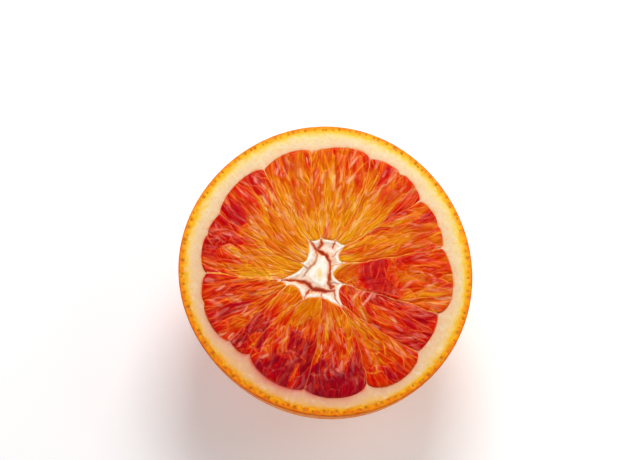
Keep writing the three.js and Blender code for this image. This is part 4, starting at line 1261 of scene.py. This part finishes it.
core = {
    "columns": 600, "rings": 110,
    "sponge": 0.06,  # height of its small bumps
    "wave": 0.28,  # how far its inner lines stray
    "archIn": 0.45, "archWide": 0.5, "archRise": 0.22,  # the rounded rim round every segment's tip
    "hollow": 0.2,  # how far the sponge between plug and arches lies below the cut
    "highest": 0.12,  # above the cut
    "crackDepth": 0.22, "crackEdge": (0.2, 1.65),  # where a crack's side falls, in half widths
    "crackWander": 0.4,  # how much a crack's width varies
    "fullHalf": 0.3, "shallow": 0.3,  # half width of a crack of full depth, least part of that depth
    "fringeStart": 1.1, "fringeWidth": (0.2, 0.6),  # in half widths; millimetres, and part of one
    "darkHalf": 0.16, "darkRise": 0.3,  # half width where the dark heart starts, and grows to full
    "patches": (0.6, 0.9, 0.15),  # mean, spread and least strength of the fringes
    "fringes": (0.95, 0.35), "oliveShare": 0.75,  # fringe of red and olive cracks, strength of olive
    "sideAngles": (0.03, 0.15, 0.5, 0.9, 1.25, 1.46), "closing": 1.5,  # the last is its point
    "yellowSpot": (-1.2, -1.7), "spotWidth": (0.75, 1.3), "spotShare": 0.85,
    "juiceShare": 0.9, "juiceWidth": 0.2,  # how strongly the juice colours it next to the pulp
    "borderSteps": 32,  # points on the inner end of one segment
    "plugSide": (0.1, -0.8),  # where the plug's side rises, from its outline
}

# The plug in the middle: turn about the core's centre, and reach.
plug = [(0, 5.0), (22, 4.4), (41, 3.3), (70, 2.4), (97, 2.2), (130, 2.9), (151, 3.8), (171, 3.3),
        (199, 2.9), (254, 2.8), (262, 3.1), (290, 2.8), (334, 2.8), (350, 4.0)]

# Cracks as points with half widths: x, y, half width; then depth, and 0 for red or 1 for olive.
cracks = [
    ([(-4.3, 7.6, 0.06), (-3.8, 6.8, 0.14), (-2.9, 5.7, 0.26), (-1.9, 4.5, 0.36), (-0.6, 3.7, 0.5),
      (0.6, 2.7, 0.46), (1.3, 1.4, 0.34), (1.5, -0.1, 0.26), (1.3, -1.9, 0.3), (1.1, -3.9, 0.32),
      (1.5, -5.2, 0.42), (2.2, -4.8, 0.24)], 1.0, 0),
    ([(-0.9, 8.2, 0.08), (-0.8, 7.1, 0.2), (-0.6, 5.9, 0.36), (-1.4, 4.9, 0.36)], 0.9, 0),
    ([(2.9, 7.6, 0.05), (2.5, 6.2, 0.14), (2.1, 5.2, 0.26), (2.0, 4.8, 0.1)], 0.6, 0),
    ([(-13.4, -3.1, 0.04), (-11.7, -3.2, 0.12), (-9.7, -3.3, 0.22), (-6.8, -3.3, 0.3),
      (-5.1, -3.6, 0.44), (-3.8, -4.4, 0.6), (-3.1, -5.4, 0.56), (-1.1, -5.7, 0.5), (0.4, -6.2, 0.42),
      (1.9, -6.0, 0.32)], 1.0, 0),
    ([(-3.8, -5.7, 0.3), (-4.6, -7.0, 0.2), (-5.3, -8.4, 0.06)], 0.8, 0),
    ([(-0.7, -5.9, 0.22), (-0.7, -7.0, 0.16), (-0.7, -8.6, 0.06)], 0.8, 0),
    ([(2.3, -5.9, 0.2), (2.6, -7.7, 0.15), (3.3, -9.0, 0.15), (4.0, -10.1, 0.06)], 0.8, 0),
    ([(-5.9, 1.2, 0.1), (-4.8, 0.1, 0.26), (-4.1, -0.4, 0.34), (-3.1, 0.4, 0.3), (-2.1, 1.4, 0.28),
      (-1.8, 2.7, 0.26), (-2.2, 4.2, 0.18)], 0.7, 1),
    ([(-4.1, -0.5, 0.22), (-5.0, -1.9, 0.16), (-5.6, -3.0, 0.05)], 0.5, 1),
    ([(1.5, 0.1, 0.16), (2.6, 0.5, 0.1), (4.6, 0.9, 0.03)], 0.5, 1),
    ([(1.4, -3.9, 0.16), (3.0, -4.0, 0.12), (5.0, -4.3, 0.03)], 0.5, 1),
    ([(1.9, 2.6, 0.1), (3.2, 3.9, 0.12), (4.9, 5.3, 0.04)], 0.4, 1),
]


def crackDistance(points, line):
    # Distance to a line of points as a multiple of its half width, smallest over its stretches, and
    # that half width.
    best = np.full(points.shape[:-1], 99.0)
    halfAtBest = np.ones(points.shape[:-1])
    for start, end in zip(line[:-1], line[1:]):
        a, b = np.array(start[:2]), np.array(end[:2])
        run = b - a
        part = np.clip(((points - a) @ run) / (run @ run), 0, 1)
        away = np.hypot(*np.moveaxis(points - a - part[..., None] * run, -1, 0))
        half = start[2] + (end[2] - start[2]) * part
        closer = away / half < best
        best = np.where(closer, away / half, best)
        halfAtBest = np.where(closer, half, halfAtBest)
    return best, halfAtBest


def coreEdgePoints():
    # The inner ends of all segments, one after the other.
    part = np.linspace(0, 1, core["borderSteps"])[:-1]
    return np.concatenate([innerPoint(row, part) for row in segments])


def coreBorder(turns):
    # Reach of the core, from its centre, up to the inner ends of the segments.
    away = coreEdgePoints() - np.array(fruit["coreCentre"])
    turn = np.degrees(np.arctan2(away[:, 0], away[:, 1])) % 360
    order = np.argsort(turn)
    return np.interp(turns, turn[order], np.hypot(*away.T)[order], period=360)


def crackFields(flat, wavy):
    # Depth of the cracks and their four colours, from the distance to each: soft-sided inside it,
    # and around it a patchy fringe that fades by e to the minus distance.
    drop = np.zeros(flat.shape[:-1])
    red, dark, olive, fringe = drop.copy(), drop.copy(), drop.copy(), drop.copy()
    uneven = patchy(core["patches"], cloud(flat, 1.3, 84, 2))
    least, more = core["fringeWidth"]
    for line, depth, isOlive in cracks:
        near, half = crackDistance(wavy, line)
        near = near / (1 + core["crackWander"] * cloud(flat, 1.1, 85, 2))
        inside = 1 - smooth(*core["crackEdge"], near)
        deep = np.clip(half / core["fullHalf"], core["shallow"], 1)
        drop = np.maximum(drop, core["crackDepth"] * depth * inside * deep)
        spread = np.exp(-np.clip((near - core["fringeStart"]) * half / (least + more * half), 0, 9))
        fringe = np.maximum(fringe, core["fringes"][isOlive] * spread * uneven)
        if isOlive:
            olive = np.maximum(olive, core["oliveShare"] * inside)
        else:
            red = np.maximum(red, inside * (0.7 + 0.3 * uneven))
            heart = np.clip((half - core["darkHalf"]) / core["darkRise"], 0, 1)
            dark = np.maximum(dark, inside ** 2 * heart)
    return drop, {"crack": red, "dark": dark, "olive": olive, "fringe": fringe}


def makeCore(material):
    # A polar height field: a plug in the middle and an arch round every segment's tip stand up,
    # the sponge between them lies lower, and cracks split it, over a sinking stalk.
    turns = evenTurns(core["columns"])
    part = np.linspace(0.02, 1, core["rings"])[:, None]
    centre = np.array(fruit["coreCentre"])
    flat = centre + polar(turns[None, :], coreBorder(turns)[None, :] * part)
    wavy = flat + core["wave"] * np.stack([cloud(flat, 0.8, 81), cloud(flat, 0.8, 82)], -1)
    toEdge = np.min([np.hypot(wavy[..., 0] - x, wavy[..., 1] - y) for x, y in coreEdgePoints()], 0)
    arch = bell(np.clip((toEdge - core["archIn"]) / core["archWide"], 0, 9))
    awayX, awayY = np.moveaxis(wavy - centre, -1, 0)
    wavyTurn = np.degrees(np.arctan2(awayX, awayY)) % 360
    plugReach = np.interp(wavyTurn, [turn for turn, _ in plug], [reach for _, reach in plug], period=360)
    raised = np.maximum(arch, smooth(*core["plugSide"], np.hypot(awayX, awayY) - plugReach))
    drop, colours = crackFields(flat, wavy)
    height = fruit["cutLevel"] - core["hollow"] * (1 - raised) + core["archRise"] * arch * toEdge
    height = np.minimum(height, fruit["cutLevel"] + core["highest"])
    top = lifted(flat, height + core["sponge"] * cloud(flat, 0.7, 83) - drop)
    sides = np.stack([sunk(flat[-1], angle) for angle in core["sideAngles"]])
    points, faces = closedRings(np.concatenate([top, sides]), [*centre, fruit["cutLevel"]],
                                sunk(centre[None], core["closing"])[0])
    spotX, spotY = np.moveaxis((flat - core["yellowSpot"]) / core["spotWidth"], -1, 0)
    values = {**colours, "warm": core["spotShare"] * np.exp(-spotX ** 2 - spotY ** 2),
              "low": 1 - raised, "juice": core["juiceShare"] * bell(toEdge, core["juiceWidth"])}
    makePiece("core", points, faces, material, values)


button = {
    "columns": 90, "rings": 26,
    "radius": 3.0, "level": 0.62, "back": 1.4,
    "lobes": 5, "lobeReach": 0.14,
    "ridge": 0.22, "dip": 0.12, "dipWidth": 0.25, "bumps": 0.1, "bumpSize": 0.7,
    "rimRise": 0.35, "rimStart": 0.8,  # its border turns in, from this part of its radius
    "ridgeShade": 0.5, "shadeStart": 0.5,  # browner between the lobes, from here outwards
}


def makeButton(material):
    # A small woody disc with five worn lobes, sunk in the seat and facing down.
    turns = evenTurns(button["columns"])
    lobe = 0.5 + 0.5 * np.cos(button["lobes"] * np.radians(turns))[None, :]
    part = np.linspace(0.04, 1, button["rings"])[:, None]
    flat = polar(turns[None, :], button["radius"] * part * (1 - button["lobeReach"] * (1 - lobe)))
    ridges = np.clip(lobe ** 3 * part, 0, 1)
    under = button["level"] - button["ridge"] * ridges
    under = under + button["rimRise"] * smooth(button["rimStart"], 1.0, part)
    under = under - button["dip"] * bell(part, button["dipWidth"])
    under = under + button["bumps"] * cloud(flat, button["bumpSize"], 91)
    rings = np.concatenate([lifted(flat, under), lifted(flat[-1:] * 0.98, button["back"])])
    points, faces = closedRings(rings, [0, 0, button["level"] - button["dip"]], [0, 0, button["back"]])
    outward = smooth(button["shadeStart"], 1, part + 0 * lobe)
    values = {"ridge": button["ridgeShade"] * (1 - ridges) * outward}
    makePiece("stem_button", points, faces, material, values)


makePeel(peelMaterial())
makePeelEdge(peelEdgeMaterial())
print("peel made")
makePith(pithMaterial())
makeCore(coreMaterial())
makeButton(buttonMaterial())
print("pith, core and stem button made")
wetPulp, thinSkin = pulpMaterial(), membraneMaterial()
for number in range(len(segments)):
    makeSegment(number, wetPulp)
    makeMembrane(number, thinSkin)
print("segments and membranes made")


# In metres. A light has a place, the point that it faces, its two sides and its watts.
studio = {
    "floor": 6.0,
    "table": {"Base Color": (0.95, 0.95, 0.95, 1.0), "Roughness": 0.8, "Specular IOR Level": 0.0,
              "Emission Color": (1.0, 1.0, 1.0, 1.0), "Emission Strength": 0.19},
    "worldLight": 0.26,
    "lights": {
        "key": ((0.03, 0.22, 0.31), (0, 0, 0.03), (0.16, 0.2), 1.05),
        "side": ((0.42, 0.12, 0.42), (0, 0, 0.03), (0.3, 0.3), 0.55),
        "left": ((-0.5, -0.1, 0.4), (0, 0, 0.03), (0.3, 0.3), 0.4),
        "front": ((0.1, -0.6, 0.3), (0, 0, 0.02), (0.6, 0.3), 0.34),
    },
    "viewDistance": 0.52, "elevation": 76.5, "lens": 118.6,
    "facePoint": (0.0002, -0.00105), "aimOffset": (-0.0015, 0.0109),
}


def makeFloor():
    # One square, level with the seat, that glows a little.
    half = studio["floor"] / 2
    corners = [(-half, -half, 0), (half, -half, 0), (half, half, 0), (-half, half, 0)]
    mesh = bpy.data.meshes.new("floor")
    mesh.from_pydata(corners, [], [(0, 1, 2, 3)])
    shader = Shader("white table")
    for key, amount in studio["table"].items():
        shader.surface.inputs[key].default_value = amount
    mesh.materials.append(shader.material)
    floor = bpy.data.objects.new("floor", mesh)
    bpy.context.scene.collection.objects.link(floor)


def makeLight(name, place, target, size, watts):
    # A soft rectangle of light, turned so that its own -Z runs from its place to the target.
    lamp = bpy.data.lights.new(name, "AREA")
    lamp.shape = "RECTANGLE"
    lamp.size, lamp.size_y = size
    lamp.energy = watts
    lightObject = bpy.data.objects.new(name, lamp)
    lightObject.location = place
    lightObject.rotation_euler = (Vector(target) - Vector(place)).to_track_quat("-Z", "Y").to_euler()
    bpy.context.scene.collection.objects.link(lightObject)


def makeWorld():
    # The same white light from all round.
    world = bpy.data.worlds.new("white room")
    world.use_nodes = True
    sky = world.node_tree.nodes["Background"]
    sky.inputs["Color"].default_value = (1, 1, 1, 1)
    sky.inputs["Strength"].default_value = studio["worldLight"]
    bpy.context.scene.world = world


def makeCamera():
    # Looks down on the cut face from the front, square to its X axis: its axes are the way it
    # looks, the cross product of that with +Y, and the cross product of those two.
    face = Vector((*studio["facePoint"], fruit["cutLevel"] * 0.001))
    lift = math.radians(studio["elevation"])
    place = face + studio["viewDistance"] * Vector((0, -math.cos(lift), math.sin(lift)))
    aim = face + Vector((*studio["aimOffset"], 0))
    forward = (aim - place).normalized()
    right = forward.cross(Vector((0, 1, 0))).normalized()
    up = right.cross(forward)
    turn = Matrix((right, up, -forward)).transposed().to_4x4()
    camera = bpy.data.cameras.new("camera")
    camera.lens = studio["lens"]
    camera.clip_start = 0.01
    cameraObject = bpy.data.objects.new("camera", camera)
    cameraObject.matrix_world = Matrix.Translation(place) @ turn
    bpy.context.scene.collection.objects.link(cameraObject)
    bpy.context.scene.camera = cameraObject


makeFloor()
makeWorld()
for name, settings in studio["lights"].items():
    makeLight(name, *settings)
makeCamera()
bpy.context.scene.view_settings.view_transform = "Standard"
bpy.context.scene.view_settings.look = "None"
print("studio made")
